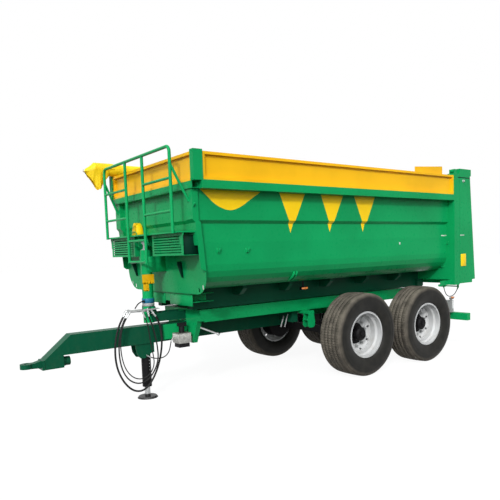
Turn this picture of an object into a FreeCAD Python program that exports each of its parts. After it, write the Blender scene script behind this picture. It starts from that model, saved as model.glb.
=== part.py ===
"""Two-axle farm tipping trailer with a half-round tub, front platform and parking jack.

Millimetres, +X forward (towing eye), +Y left, +Z up, floor at Z = 0. All places along X are
written from the middle between the axles and moved by ORIGIN_X when they are saved, so that the
saved part has its origin at the bottom centre of its box.
"""
import FreeCAD
import Part
import math
import os

V = FreeCAD.Vector

# ---- running gear -------------------------------------------------------------------------
TYRE_D = 1072.0            # 385/65 R22.5
TYRE_W = 385.0
RIM_FLANGE_D = 597.0
RIM_SEAT_D = 571.5
RIM_W = 298.0              # between the flanges, outside to outside
WIDTH_OVER_TYRES = 2260.0
AXLE_SPACING = 1270.0
DISC_DEPTH = 200.0         # wheel disc inboard of the outer flange
DISC_T = 14.0
DISC_BORE_R = 140.5
HAND_HOLES = 8
HAND_HOLE_R = 17.0
HAND_HOLE_PCR = 226.0
HAND_HOLE_TURN = 17.0      # degrees from the front to the first hole
HUB_FLANGE_R = 112.0
HUB_CAP_R = 88.0
HUB_REACH = 118.0          # hub cap's end, outboard of the wheel disc
DRUM_R = 205.0
AXLE_BEAM = 100.0
AXLE_BEAM_HALF = 690.0
SPINDLE_R = 45.0
SPINDLE_END_Y = 880.0
RUNNING_GAP = 0.05         # radial gap of pins and spindles
SEAT_GAP = 0.3             # gap between curved faces that sit on each other
CLEAR = 5.0                # gap between pieces that pass each other
SPRING_Y = 520.0           # middle of each leaf spring
SPRING_W = 80.0
SPRING_LEAVES = 5
SPRING_PAD_Z = 730.3
SPRING_REACH = 455.0       # half the length of the longest leaf
ROCKER_REACH = 190.0       # half the length of the middle hangers' rockers
HANGER_REACH = 60.0
CHAMBER_R = 72.0           # brake chambers behind each axle
CHAMBER_Y = 300.0

# ---- chassis ------------------------------------------------------------------------------
RAIL_OUT_Y = 430.0
RAIL_W = 80.0
RAIL_BOTTOM = 855.0
RAIL_TOP = 1000.0
RAIL_REAR_X = -1330.0
CROSS_X = 2640.0           # rear face of the front cross-member
CROSS_DEPTH = 60.0
HANGER_Z = 602.0           # lower end of the two legs under the front cross-member
CROSS_MEMBERS = (-1270.0, 0.0, 1120.0, 1900.0)

DRAWBAR_W = 150.0
DRAWBAR_H = 206.0
DRAWBAR_BOTTOM = 640.0
DRAWBAR_WALL = 10.0
DRAWBAR_REAR_X = 1150.0
BEND_X = 4052.0            # where the drawbar's top starts to slope down
NOSE_REAR_X = 4137.0       # rear face of the nose below the drawbar
GUSSET_X = 2990.0
GUSSET_H = 165.0
GUSSET_REAR_Y = 125.0
NOSE_X = 4330.0            # front face of the drawbar
NOSE_Z = 512.0             # underside of the nose
NOSE_H = 100.0
EYE_X = 4490.0
EYE_Z = 567.0
EYE_HOLE_R = 25.0
EYE_R = 62.0
EYE_T = 50.0
EYE_ARM_HALF = 44.0
DAMPER_R = 48.0            # housing of the eye's spring, behind the nose
DAMPER_LENGTH = 78.0

JACK_X = 3190.0
JACK_TUBE_R = 54.0
JACK_WALL = 8.0
CHEEK_T = 10.0             # plates that hold the jack under the drawbar
JACK_TUBE_BOTTOM = 132.0
JACK_ROD_R = 32.0
JACK_FOOT_R = 118.0

# ---- tipping ------------------------------------------------------------------------------
HINGE_X = -1300.0
HINGE_Z = 930.0
HINGE_PIN_R = 25.0
TIP_DEG = 43.0
RAM_X = 3125.0
RAM_PIVOT_Z = 1030.0
RAM_EYE_Z = 1790.0
RAM_TUBE_R = 63.0
RAM_STAGES = 5
RAM_STEP = 7.0             # radius lost from one stage to the next
RAM_TAIL = 150.0           # from the trunnions down to the inside of the base
RAM_HEAD = 85.0            # from the top of the tube up to the rod's eye
RAM_EYE_HALF = 40.0
TRUNNION_R = 22.0
CRADLE_IN_Y = 80.0
CRADLE_T = 20.0
CRADLE_NOSE = 36.0         # how far the cradle reaches past the trunnions

# ---- tub ----------------------------------------------------------------------------------
TUB_HALF = 970.0           # outer face of the upper side band
TUB_STEP = 32.0            # how far the side steps in at the crease
TUB_LOW_IN = 18.0          # how far the lower side lies inside the upper band
TUB_LOW_HALF = TUB_HALF - TUB_LOW_IN
CREASE_TOP = 1985.0
CREASE_LOW = 1950.0
SOFT_Z = 1757.0
CORNER_R = 260.0
CORNER_FOLDS = 6
TUB_FLOOR = 1262.0         # underside of the tub's floor
SHEET = 6.0
TUB_TOP = 2295.0           # underside of the top rails
REAR_X = -1311.0           # where the sheet meets the rear frame
FRAME_REAR_X = -1440.0
TOP_RAIL_W = 110.0
BODY_HALF = TUB_HALF + TOP_RAIL_W
RAIL_H = 85.0
SHEET_TOP = TUB_TOP + RAIL_H - 5
FRONT_X = 2995.0           # front face of the front wall's upper band
FRONT_LOW_X = 2905.0       # front face of the front wall at its lower edge
FRONT_EDGE_Z = 1210.0
FRONT_FLANGE = 20.0        # how far the front wall stands out past the tub
FRONT_STEP = 28.0          # how far the front wall steps back below its upper band
PILLAR_T = 60.0            # corner pillars on the front wall
PILLAR_W = 130.0
PILLAR_LOW = 1729.0
PILLAR_FIN_LOW = 1468.0
BEAM_OUT_Y = 425.0
BEAM_W = 90.0
BEAM_BOTTOM = 1012.0
BEAM_FRONT_X = 2790.0
BEARER_LOW = 1150.0
BEARER_REACH = 215.0       # how far a bearer reaches outboard of its beam
BEARERS = (-600.0, 100.0, 800.0, 1500.0, 2200.0)
SKIRT_X = (2590.0, 2872.0)
SKIRT_Z = (1105.0, 1205.0)
SKIRT_HALF = 570.0
SKIRT_WALL = 8.0
EAR_T = 30.0
EAR_R = 60.0
BOARD_H = 280.0
BOARD_T = 35.0
POST_X = (2971.0, 3079.0)
POST_W = 70.0
POST_RISE = 15.0           # how far the corner posts stand above the boards
FRONT_RAIL_X = (FRONT_X, 3072.0)
FRONT_RAIL_Z = (TUB_TOP + 5, TUB_TOP + 77)
FRONT_RAIL_HALF = BODY_HALF - 59.0
BOARD_LOW = TUB_TOP + RAIL_H
BOARD_TOP = BOARD_LOW + BOARD_H
REAR_TOP = BOARD_TOP + 30.0
REAR_BOTTOM = 1125.0
REAR_FOOT = 1045.0
REAR_FOOT_W = 90.0

# ---- tailgate -----------------------------------------------------------------------------
GATE_GAP = 5.0
GATE_PIVOT_X = -1350.0
GATE_PIVOT_Z = REAR_TOP + 35.0
GATE_PIN_R = 15.0
GATE_ARM_W = 54.0
GATE_ARM_Y = BODY_HALF - 50.0
GATE_LUG_T = 15.0
GATE_TOP_REAR_X = -1715.0
GATE_LOW_REAR_X = -1850.0
GATE_LOW_Z = 1110.0        # lower end of the sloping rear face
GATE_TOP = REAR_TOP - 25.0
GATE_CAP_H = 97.0
GATE_CAP_W = 95.0
GATE_CAP_REAR_X = -1741.0
GATE_BOTTOM = 1060.0
GATE_TOE = 78.0            # the toe under the gate ends this far ahead of its rear face
GATE_WALL = 8.0
GATE_RIB = 25.0            # how far the ribs stand out of the rear sheet
GATE_RIB_W = 70.0
CHUTE = (210.0, 1240.0, 1640.0)   # grain slide: half width, low and high edge

LOCK_Y = TUB_HALF
LOCK_FRONT = (-1080.0, 1050.0)
LOCK_REAR = (-1560.0, 1006.0)
MARKER_X = 1312.0

# ---- front platform -----------------------------------------------------------------------
PLATFORM_X = 3225.0
PLATFORM_HALF = TUB_HALF - 20.0
PLATFORM_Z = 1862.0
PLATFORM_T = 16.0
LOUVRE_X = 3150.0
LOUVRE_HALF = (232.0, PLATFORM_HALF - 20.0)
LOUVRE_BOTTOM = 1632.0
LOUVRE_COUNT = 7
HANDRAIL_R = 17.0
HANDRAIL_BEND = 60.0
HANDRAIL_TOP = 2722.0
HANDRAIL_HALF = PLATFORM_HALF - 82.0
LOW_BAR_UP = 220.0         # lower bar above the deck
MID_BAR_DOWN = 312.0       # middle bar below the handrail
BRACE_DOWN = 170.0         # top of each stay below the handrail
BRACE_FOOT = 120.0         # foot of each stay below the top rails
LADDER_HALF = 228.0
LADDER_BOTTOM = 1572.0
RUNG_STEP = 238.0

HOLDER_Z = 1032.0
HOLDER_W = 60.0
HOLDER_END_X = 3450.0
VALVE_AT = (2820.0, 205.0, 620.0)
VALVE_HALF = (80.0, 75.0)
VALVE_H = 115.0

# ---- hoses: radius and the points that each route turns at ---------------------------------
HOSE_R = 11.0
LOOP_OUTER = [(3462, 118, 1012), (3514, 118, 938), (3566, 118, 820), (3600, 118, 659),
              (3600, 118, 485), (3563, 118, 339), (3489, 118, 208), (3395, 118, 126),
              (3288, 118, 116), (3190, 118, 195), (3108, 118, 336), (3056, 118, 493),
              (3032, 118, 655), (3042, 118, 802), (3078, 118, 920), (3124, 118, 985)]
THIN_HOSE_R = 8.0
LOOP_INNER = [(3452, 140, 1000), (3508, 140, 911), (3550, 140, 777), (3566, 140, 622),
              (3558, 140, 482), (3524, 140, 355), (3452, 140, 254), (3342, 140, 205),
              (3230, 140, 238), (3142, 140, 344), (3100, 140, 460), (3104, 140, 590),
              (3122, 140, 715), (3152, 140, 840), (3188, 140, 940), (3197, 140, 1000)]
CABLE_R = 6.0
LOOP_CABLE = [(3440, 158, 1000), (3498, 158, 918), (3538, 158, 806), (3552, 158, 680),
              (3545, 158, 550), (3518, 158, 430), (3463, 158, 332), (3384, 158, 272),
              (3290, 158, 262), (3206, 158, 314), (3158, 158, 412), (3176, 158, 555),
              (3198, 158, 680), (3208, 158, 800), (3230, 158, 910), (3262, 158, 990)]
JACK_HOSE_R = 6.0
JACK_LINE = [(3203, 76, 500), (3172, 84, 478), (3110, 92, 456), (3040, 95, 450),
             (2980, 104, 472), (2946, 118, 525), (2937, 131, 585), (2931, 142, 636),
             (2913, 150, 670)]
LOCK_HOSE_R = 6.0
LOCK_LINE = [(-1545, 970, 966), (-1500, 968, 905), (-1420, 965, 868), (-1330, 964, 866),
             (-1262, 966, 903), (-1220, 968, 962), (-1200, 970, 1008)]
FITTING_WALL = 4.0         # a hose's fitting is this much larger in radius

TARP_R = 85.0
TARP_Y = -(BODY_HALF - 80.0)
TARP_X = (-1240.0, 3310.0)
TARP_POLE_R = 18.0
TARP_POLE_END = 3440.0
TARP_FLAP_T = 40.0
STOP_X = (-1080.0, -449.0) # plate behind the near boards that the drawn tarpaulin stops at
STOP_RISE = (115.0, 74.0)  # its rear and front ends, above the boards
STOP_LAP = 120.0
STOP_T = 4.0

ORIGIN_X = (EYE_X + EYE_R + GATE_LOW_REAR_X) / 2


# ---- small shape helpers ------------------------------------------------------------------
def block(x, y, z):
    """Box between two corners, each span given as (low, high)."""
    return Part.makeBox(x[1] - x[0], y[1] - y[0], z[1] - z[0], V(x[0], y[0], z[0]))


def rod(start, end, radius):
    """Round bar between two points."""
    a, b = V(*start), V(*end)
    return Part.makeCylinder(radius, (b - a).Length, a, b - a)


def ring(start, end, outer, inner):
    """Round tube between two points."""
    return rod(start, end, outer).cut(rod(start, end, inner))


def side_plate(points, y):
    """Plate with an outline of (x, z) points, between two places along Y."""
    wire = Part.makePolygon([V(px, y[0], pz) for px, pz in points + points[:1]])
    return Part.Face(wire).extrude(V(0, y[1] - y[0], 0))


def cross_plate(points, x):
    """Plate with an outline of (y, z) points, between two places along X."""
    wire = Part.makePolygon([V(x[0], py, pz) for py, pz in points + points[:1]])
    return Part.Face(wire).extrude(V(x[1] - x[0], 0, 0))


def join(shapes):
    """One solid, or as few as touch, out of many."""
    whole = shapes[0]
    for shape in shapes[1:]:
        whole = whole.fuse(shape)
    return whole.removeSplitter()


def mirrored(shape):
    return shape.mirror(V(0, 0, 0), V(0, 1, 0))


def both_sides(shape):
    """The shape and its mirror image across the middle, joined where they meet."""
    return join([shape, mirrored(shape)])


def span(middle, width):
    return (middle - width / 2, middle + width / 2)


def slide_bar(start, end, y, radius):
    """Round bar between two (x, z) points at one place along Y."""
    return rod((start[0], y, start[1]), (end[0], y, end[1]), radius)


def fitting(end, following, radius, length):
    """Short round fitting that a hose comes out of, in line with the hose's last run."""
    a = V(*end)
    back = (a - V(*following)).normalize()
    return Part.makeCylinder(radius + FITTING_WALL, length, a + back * SEAT_GAP, back)


def save(node, shape):
    moved = shape.copy()
    moved.translate(V(-ORIGIN_X, 0, 0))
    moved.exportStep(f"parts/{node}.step")


# ---- outlines of the tub ------------------------------------------------------------------
def half_outline(upper, lower, step, floor, radius):
    """(y, z) points of half a tub section, from the top edge down to the middle of the floor."""
    centre_y = lower - radius
    centre_z = floor + radius
    points = [(upper, SHEET_TOP), (upper, CREASE_TOP), (upper - step, CREASE_LOW), (lower, SOFT_Z)]
    for fold in range(CORNER_FOLDS + 1):
        turn = math.radians(90.0 * fold / CORNER_FOLDS)
        points.append((centre_y + radius * math.cos(turn), centre_z - radius * math.sin(turn)))
    return points


def full_outline(half, top=SHEET_TOP):
    half = [(half[0][0], top)] + half[1:]
    return half + [(-py, pz) for py, pz in reversed(half)]


def tub_outer():
    return half_outline(TUB_HALF, TUB_LOW_HALF, TUB_STEP, TUB_FLOOR, CORNER_R)


def tub_inner():
    return half_outline(TUB_HALF - SHEET, TUB_LOW_HALF - SHEET, TUB_STEP, TUB_FLOOR + SHEET,
                        CORNER_R - SHEET)


def wall_outline():
    grow = FRONT_FLANGE
    return half_outline(TUB_HALF + grow, TUB_LOW_HALF + grow, TUB_STEP, FRONT_EDGE_Z,
                        CORNER_R - 2 * grow)


def front_profile(inset):
    """(x, z) points down the front wall's front face, moved back by inset."""
    band = FRONT_X - inset
    return [(band, SHEET_TOP), (band, CREASE_TOP + 8), (band - FRONT_STEP, CREASE_LOW + 8),
            (FRONT_LOW_X - inset, FRONT_EDGE_Z)]


def front_face_x(z):
    """Where the front wall's face is, at a height below its crease."""
    top_x, top_z = FRONT_X - FRONT_STEP, CREASE_LOW + 8
    return FRONT_LOW_X + (top_x - FRONT_LOW_X) * (z - FRONT_EDGE_Z) / (top_z - FRONT_EDGE_Z)


# ---- chassis ------------------------------------------------------------------------------
def chassis_frame():
    rail = block((RAIL_REAR_X, CROSS_X), (RAIL_OUT_Y - RAIL_W, RAIL_OUT_Y),
                 (RAIL_BOTTOM, RAIL_TOP))
    pin = rod((HINGE_X, RAIL_OUT_Y - RAIL_W, HINGE_Z), (HINGE_X, RAIL_OUT_Y + 48, HINGE_Z),
              HINGE_PIN_R)
    parts = [both_sides(join([rail, pin]))]
    inner = RAIL_OUT_Y - RAIL_W
    for middle in CROSS_MEMBERS:
        parts.append(block(span(middle, 80), (-inner, inner), (RAIL_BOTTOM + 20, RAIL_TOP - 30)))
    parts.append(block((CROSS_X, CROSS_X + CROSS_DEPTH), (-RAIL_OUT_Y, RAIL_OUT_Y),
                       (RAIL_BOTTOM + 15, RAIL_TOP)))
    leg_top = RAIL_BOTTOM + 15
    hanger = cross_plate([(RAIL_OUT_Y - 60, leg_top), (250, HANGER_Z), (165, HANGER_Z),
                          (110, leg_top)], (CROSS_X, CROSS_X + CROSS_DEPTH))
    parts.append(both_sides(hanger))
    return join(parts)


def drawbar():
    half = DRAWBAR_W / 2
    top = DRAWBAR_BOTTOM + DRAWBAR_H
    outline = [(DRAWBAR_REAR_X, DRAWBAR_BOTTOM), (NOSE_REAR_X, DRAWBAR_BOTTOM),
               (NOSE_REAR_X, NOSE_Z), (NOSE_X, NOSE_Z),
               (NOSE_X, NOSE_Z + NOSE_H), (BEND_X, top), (DRAWBAR_REAR_X, top)]
    beam = side_plate(outline, (-half, half))
    damper = rod((NOSE_REAR_X - DAMPER_LENGTH, 0, EYE_Z), (NOSE_REAR_X, 0, EYE_Z), DAMPER_R)
    collar = rod((NOSE_REAR_X - 26, 0, EYE_Z), (NOSE_REAR_X, 0, EYE_Z), DAMPER_R + 4)
    cheek = [(JACK_X - 80, DRAWBAR_BOTTOM), (JACK_X - 80, 530), (JACK_X - 40, 522),
             (JACK_X + 40, 471), (JACK_X + 95, 480), (JACK_X + 135, 540),
             (JACK_X + 152, DRAWBAR_BOTTOM)]
    inner = JACK_TUBE_R + SEAT_GAP
    plate = side_plate(cheek, (inner, inner + CHEEK_T))
    pivot = block(span(DRAWBAR_REAR_X + 60, 90), (half, RAIL_OUT_Y - RAIL_W),
                  (DRAWBAR_BOTTOM + 60, RAIL_BOTTOM + 20))
    port = fitting(JACK_LINE[0], JACK_LINE[1], JACK_HOSE_R, 30)
    return join([beam, damper, collar, both_sides(plate), both_sides(pivot), port])


def drawbar_gussets():
    """Slanting plates and a packer that tie the drawbar to the front cross-member."""
    half = DRAWBAR_W / 2
    top = DRAWBAR_BOTTOM + DRAWBAR_H
    front = CROSS_X + CROSS_DEPTH
    packer = block((CROSS_X, front), (-half, half), (top, RAIL_BOTTOM + 15))
    rear_y = GUSSET_REAR_Y
    plan = [V(GUSSET_X, half, 0), V(front, rear_y, 0), V(front, rear_y - 12, 0),
            V(GUSSET_X - 60, half, 0)]
    slant = Part.Face(Part.makePolygon(plan + plan[:1])).extrude(V(0, 0, GUSSET_H))
    slant.translate(V(0, 0, DRAWBAR_BOTTOM + 20))
    lid_plan = [V(GUSSET_X, half, 0), V(front, rear_y, 0), V(front, half, 0)]
    lid = Part.Face(Part.makePolygon(lid_plan + lid_plan[:1])).extrude(V(0, 0, 8))
    lid.translate(V(0, 0, DRAWBAR_BOTTOM + 20 + GUSSET_H))
    return Part.makeCompound([packer, join([slant, lid]), mirrored(join([slant, lid]))])


def tow_eye():
    plate = block((NOSE_X, NOSE_X + 25), (-80, 80), (NOSE_Z, NOSE_Z + NOSE_H))
    low, high = EYE_Z - EYE_T / 2, EYE_Z + EYE_T / 2
    arm = side_plate([(NOSE_X + 25, low - 8), (EYE_X, low), (EYE_X, high), (EYE_X - 70, high),
                      (NOSE_X + 25, high + 16)], (-EYE_ARM_HALF, EYE_ARM_HALF))
    head = rod((EYE_X, 0, low), (EYE_X, 0, high), EYE_R)
    hole = rod((EYE_X, 0, low - 10), (EYE_X, 0, high + 10), EYE_HOLE_R)
    return join([plate, arm, head]).cut(hole)


def jack_tube():
    """Round outer tube of the jack, with the collar that its piston slides in."""
    top = DRAWBAR_BOTTOM
    tube = rod((JACK_X, 0, JACK_TUBE_BOTTOM), (JACK_X, 0, top), JACK_TUBE_R)
    bore = rod((JACK_X, 0, JACK_TUBE_BOTTOM), (JACK_X, 0, top - 20), JACK_TUBE_R - JACK_WALL)
    collar = ring((JACK_X, 0, JACK_TUBE_BOTTOM), (JACK_X, 0, JACK_TUBE_BOTTOM + 40),
                  JACK_TUBE_R - JACK_WALL, JACK_ROD_R + RUNNING_GAP)
    return join([tube.cut(bore), collar])


def jack_foot():
    piston = rod((JACK_X, 0, 20), (JACK_X, 0, JACK_TUBE_BOTTOM + 140), JACK_ROD_R)
    foot = Part.makeCone(JACK_FOOT_R, JACK_FOOT_R - 14, 20, V(JACK_X, 0, 0))
    return join([piston, foot])


def rear_bumper():
    arm = side_plate([(RAIL_REAR_X, RAIL_BOTTOM), (RAIL_REAR_X + 160, RAIL_BOTTOM),
                      (-1560, 490), (-1560, 600)], (RAIL_OUT_Y - 50, RAIL_OUT_Y - 40))
    bar = block((-1640, -1560), (-1130, 1130), (490, 600))
    return join([bar, both_sides(arm)])


def light_units():
    case = block((-1545, -1490), (560, 905), (606, 790))
    foot = block((-1560, -1490), (700, 760), (560, 606))
    stalk = block((-1530, -1505), (868, 888), (790, 806))
    lamp = rod((-1565, 878, 820), (-1495, 878, 820), 19)
    return both_sides(join([case, foot, stalk, lamp]))


def leaf_pack(middle):
    leaves = []
    for n in range(SPRING_LEAVES):
        reach = SPRING_REACH - 70 * n
        low = 646 - 14 * n
        rise = 70 * (reach / SPRING_REACH) ** 2
        top = [(-reach, low + rise), (-reach * 0.5, low + rise * 0.25), (0, low),
               (reach * 0.5, low + rise * 0.25), (reach, low + rise)]
        points = [(middle + px, pz) for px, pz in top]
        points += [(px, pz + 14) for px, pz in reversed(points)]
        leaves.append(side_plate(points, span(SPRING_Y, SPRING_W)))
    clamp = block(span(middle, 150), span(SPRING_Y, SPRING_W + 20), (586, 672))
    return join(leaves + [clamp])


def leaf_springs():
    packs = [leaf_pack(side * AXLE_SPACING / 2) for side in (1, -1)]
    return Part.makeCompound([shape for pack in packs for shape in (pack, mirrored(pack))])


def spring_hanger(middle, reach):
    """Two cheeks under a rail, with the pad or rocker that the spring ends bear on."""
    outline = [(middle - reach, 665), (middle - reach * 0.6, 636), (middle + reach * 0.6, 636),
               (middle + reach, 665), (middle + reach, 722), (middle + 48, 790),
               (middle + 48, RAIL_BOTTOM), (middle - 48, RAIL_BOTTOM), (middle - 48, 790),
               (middle - reach, 722)]
    edge = SPRING_W / 2 + 2
    outer = side_plate(outline, (SPRING_Y + edge, SPRING_Y + edge + 10))
    inner = side_plate(outline, (SPRING_Y - edge - 10, SPRING_Y - edge))
    shelf = block(span(middle, 90), (RAIL_OUT_Y - RAIL_W, SPRING_Y + edge + 10),
                  (RAIL_BOTTOM - 40, RAIL_BOTTOM))
    pad = block(span(middle, 2 * HANGER_REACH), (SPRING_Y - edge, SPRING_Y + edge),
                (SPRING_PAD_Z, SPRING_PAD_Z + 22))
    parts = [outer, inner, shelf, pad]
    if reach > HANGER_REACH:
        parts.append(block(span(middle, 2 * reach + 50), span(SPRING_Y, SPRING_W),
                           (SPRING_PAD_Z, SPRING_PAD_Z + 34)))
    return join(parts)


def spring_hangers():
    outer = AXLE_SPACING / 2 + SPRING_REACH + 25
    places = ((outer, HANGER_REACH), (0, ROCKER_REACH), (-outer, HANGER_REACH))
    hangers = [spring_hanger(middle, reach) for middle, reach in places]
    return Part.makeCompound([s for h in hangers for s in (h, mirrored(h))])


def brake_chamber(middle, z):
    """Brake chamber on a bracket behind the axle beam, with its pushrod and lever."""
    back = middle - AXLE_BEAM / 2
    y = CHAMBER_Y
    can = rod((back - 190, y, z + 70), (back - 60, y, z + 70), CHAMBER_R)
    band = rod((back - 132, y, z + 70), (back - 116, y, z + 70), CHAMBER_R + 8)
    bracket = block((back - 60, back - 48), span(y, 110), (z - 20, z + 120))
    foot = block((back - 60, back), span(y, 60), (z - 20, z + 20))
    pushrod = rod((back - 48, y, z + 70), (middle + 55, y, z + 110), 9)
    lever = block((middle + 45, middle + 65), span(y, 24), (z + 20, z + 135))
    stem = block((middle, middle + 65), span(y, 24), (z + 20, z + 50))
    return join([can, band, bracket, foot, pushrod, lever, stem])


def axle(middle):
    half = AXLE_BEAM / 2
    z = TYRE_D / 2
    end = AXLE_BEAM_HALF
    beam = block(span(middle, AXLE_BEAM), (-end, end), (z - half, z + half))
    spindle = rod((middle, end, z), (middle, SPINDLE_END_Y, z), SPINDLE_R)
    plate = rod((middle, end - 10, z), (middle, end, z), DRUM_R + 5)
    return join([beam, both_sides(join([spindle, plate])), both_sides(brake_chamber(middle, z))])


def wheel_middle_y():
    return (WIDTH_OVER_TYRES - TYRE_W) / 2


def turned(profile, middle, side):
    """Solid of revolution about the wheel's axis from (y from the tyre's middle, radius)."""
    points = [V(0, py, pr) for py, pr in profile]
    face = Part.Face(Part.makePolygon(points + points[:1]))
    solid = face.revolve(V(0, 0, 0), V(0, 1, 0), 360)
    solid.translate(V(middle, wheel_middle_y(), TYRE_D / 2))
    return solid if side > 0 else mirrored(solid)


def tyre(middle, side):
    r = TYRE_D / 2
    half = TYRE_W / 2
    seat = RIM_SEAT_D / 2
    bead = RIM_W / 2 - 11.5
    flank = [(bead, seat + SEAT_GAP), (bead, RIM_FLANGE_D / 2 + 3), (half, seat + 135),
             (half - 38, r)]
    return turned(flank + [(-py, pr) for py, pr in reversed(flank)], middle, side)


def rim(middle, side):
    seat = RIM_SEAT_D / 2
    flange = RIM_FLANGE_D / 2
    half = RIM_W / 2
    barrel = [(-half, flange), (-half + 11, flange), (-half + 11, seat), (-60, seat),
              (-40, seat - 24), (60, seat - 24), (80, seat), (half - 11, seat),
              (half - 11, flange), (half, flange), (half, seat - 9), (84, seat - 9),
              (64, seat - 33), (-44, seat - 33), (-64, seat - 9), (-half, seat - 9)]
    face_y = half - DISC_DEPTH
    disc = [(face_y - DISC_T, DISC_BORE_R), (face_y, DISC_BORE_R), (face_y, 188),
            (face_y + 34, 236), (face_y + 34, seat - 33), (face_y + 34 - DISC_T, seat - 33),
            (face_y + 34 - DISC_T, 242), (face_y - DISC_T, 196)]
    whole = join([turned(barrel, middle, side), turned(disc, middle, side)])
    centre = V(middle, 0, TYRE_D / 2)
    face = side * (wheel_middle_y() + face_y)
    holes = []
    x = middle + HAND_HOLE_PCR
    for n in range(HAND_HOLES):
        hole = rod((x, face - 60, TYRE_D / 2), (x, face + 60, TYRE_D / 2), HAND_HOLE_R)
        hole.rotate(centre, V(0, 1, 0), 360.0 / HAND_HOLES * n + HAND_HOLE_TURN)
        holes.append(hole)
    return whole.cut(Part.makeCompound(holes))


def hub(middle, side):
    y0 = wheel_middle_y() + RIM_W / 2 - DISC_DEPTH - DISC_T
    z = TYRE_D / 2
    inner = AXLE_BEAM_HALF + CLEAR
    face = y0 + DISC_T
    spigot = rod((middle, y0, z), (middle, face, z), DISC_BORE_R - SEAT_GAP)
    flange = rod((middle, face, z), (middle, face + 24, z), HUB_FLANGE_R)
    cap = rod((middle, face + 24, z), (middle, face + HUB_REACH - 18, z), HUB_CAP_R)
    crown = Part.makeCone(HUB_CAP_R, HUB_CAP_R - 22, 18, V(middle, face + HUB_REACH - 18, z),
                          V(0, 1, 0))
    web = rod((middle, y0 - 30, z), (middle, y0, z), DRUM_R)
    drum = ring((middle, inner, z), (middle, y0 - 30, z), DRUM_R, DRUM_R - 18)
    barrel = rod((middle, inner + 30, z), (middle, y0 - 30, z), 80)
    bore = rod((middle, AXLE_BEAM_HALF, z), (middle, SPINDLE_END_Y + 3, z),
               SPINDLE_R + RUNNING_GAP)
    whole = join([spigot, flange, cap, crown, web, drum, barrel]).cut(bore)
    return whole if side > 0 else mirrored(whole)


# ---- ram ----------------------------------------------------------------------------------
def ram_cradle():
    """Two arms ahead of the front cross-member, bored for the ram's trunnions."""
    front = CROSS_X + CROSS_DEPTH
    nose = RAM_X + CRADLE_NOSE
    outline = [(front, RAIL_BOTTOM + 25), (front, RAIL_TOP - 20), (RAM_X - 60, RAIL_TOP - 20),
               (RAM_X - CRADLE_NOSE, RAM_PIVOT_Z + 35), (nose, RAM_PIVOT_Z + 35),
               (nose, RAM_PIVOT_Z - 40), (RAM_X - 20, RAIL_BOTTOM + 25)]
    inner = CRADLE_IN_Y
    arm = side_plate(outline, (inner, inner + CRADLE_T))
    hole = rod((RAM_X, inner - 1, RAM_PIVOT_Z), (RAM_X, inner + CRADLE_T + 1, RAM_PIVOT_Z),
               TRUNNION_R + RUNNING_GAP)
    arm = arm.cut(hole)
    return Part.makeCompound([arm, mirrored(arm)])


def ram_tube():
    low = RAM_PIVOT_Z - RAM_TAIL
    tube = ring((RAM_X, 0, low), (RAM_X, 0, RAM_EYE_Z - RAM_HEAD), RAM_TUBE_R,
                RAM_TUBE_R - RAM_STEP + SEAT_GAP)
    base = rod((RAM_X, 0, low - 10), (RAM_X, 0, low), RAM_TUBE_R)
    collar = ring((RAM_X, 0, RAM_PIVOT_Z + 80), (RAM_X, 0, RAM_PIVOT_Z + 130), RAM_TUBE_R + 6,
                  RAM_TUBE_R - 2)
    trunnion = rod((RAM_X, RAM_TUBE_R - 4, RAM_PIVOT_Z),
                   (RAM_X, CRADLE_IN_Y + CRADLE_T, RAM_PIVOT_Z), TRUNNION_R)
    return join([tube, base, collar, trunnion, mirrored(trunnion)])


def ram_stage(n):
    outer = RAM_TUBE_R - RAM_STEP * n
    low = RAM_PIVOT_Z - RAM_TAIL + 2
    high = RAM_EYE_Z - RAM_HEAD + 4 * n
    if n < RAM_STAGES:
        return ring((RAM_X, 0, low), (RAM_X, 0, high), outer, outer - RAM_STEP + SEAT_GAP)
    top = rod((RAM_X, -RAM_EYE_HALF, RAM_EYE_Z), (RAM_X, RAM_EYE_HALF, RAM_EYE_Z), 32)
    return join([rod((RAM_X, 0, low), (RAM_X, 0, RAM_EYE_Z), outer), top])


# ---- tub ----------------------------------------------------------------------------------
def tub_shell():
    reach = (REAR_X, FRONT_X + 50)
    outer = cross_plate(full_outline(tub_outer()), reach)
    inner = cross_plate(full_outline(tub_inner(), SHEET_TOP + 10), (REAR_X - 5, FRONT_X + 60))
    ahead = front_profile(SHEET) + [(FRONT_LOW_X - 40, 1000), (FRONT_X + 90, 1000),
                                    (FRONT_X + 90, SHEET_TOP + 20),
                                    (FRONT_X - SHEET, SHEET_TOP + 20)]
    return outer.cut(inner).cut(side_plate(ahead, (-TUB_HALF - 50, TUB_HALF + 50)))


def front_pillar():
    """Box pillar on the near edge of the front wall, with a fin below it."""
    outer = TUB_HALF + FRONT_FLANGE - 5
    low_x = front_face_x(PILLAR_LOW)
    fin_x = front_face_x(PILLAR_FIN_LOW)
    step_x = FRONT_X - FRONT_STEP
    back = 3
    box = [(FRONT_X - back, FRONT_RAIL_Z[0]), (FRONT_X + PILLAR_T, FRONT_RAIL_Z[0]),
           (FRONT_X + PILLAR_T, CREASE_TOP + 8), (step_x + PILLAR_T, CREASE_LOW + 8),
           (low_x + PILLAR_T, PILLAR_LOW), (low_x - back, PILLAR_LOW),
           (step_x - back, CREASE_LOW + 8), (FRONT_X - back, CREASE_TOP + 8)]
    fin = [(low_x - back, PILLAR_LOW + 20), (low_x + PILLAR_T, PILLAR_LOW + 20),
           (fin_x + PILLAR_T, PILLAR_FIN_LOW + 25), (fin_x + 25, PILLAR_FIN_LOW),
           (fin_x - back, PILLAR_FIN_LOW)]
    return join([side_plate(box, (outer - PILLAR_W, outer)), side_plate(fin, (outer - 10, outer))])


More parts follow.
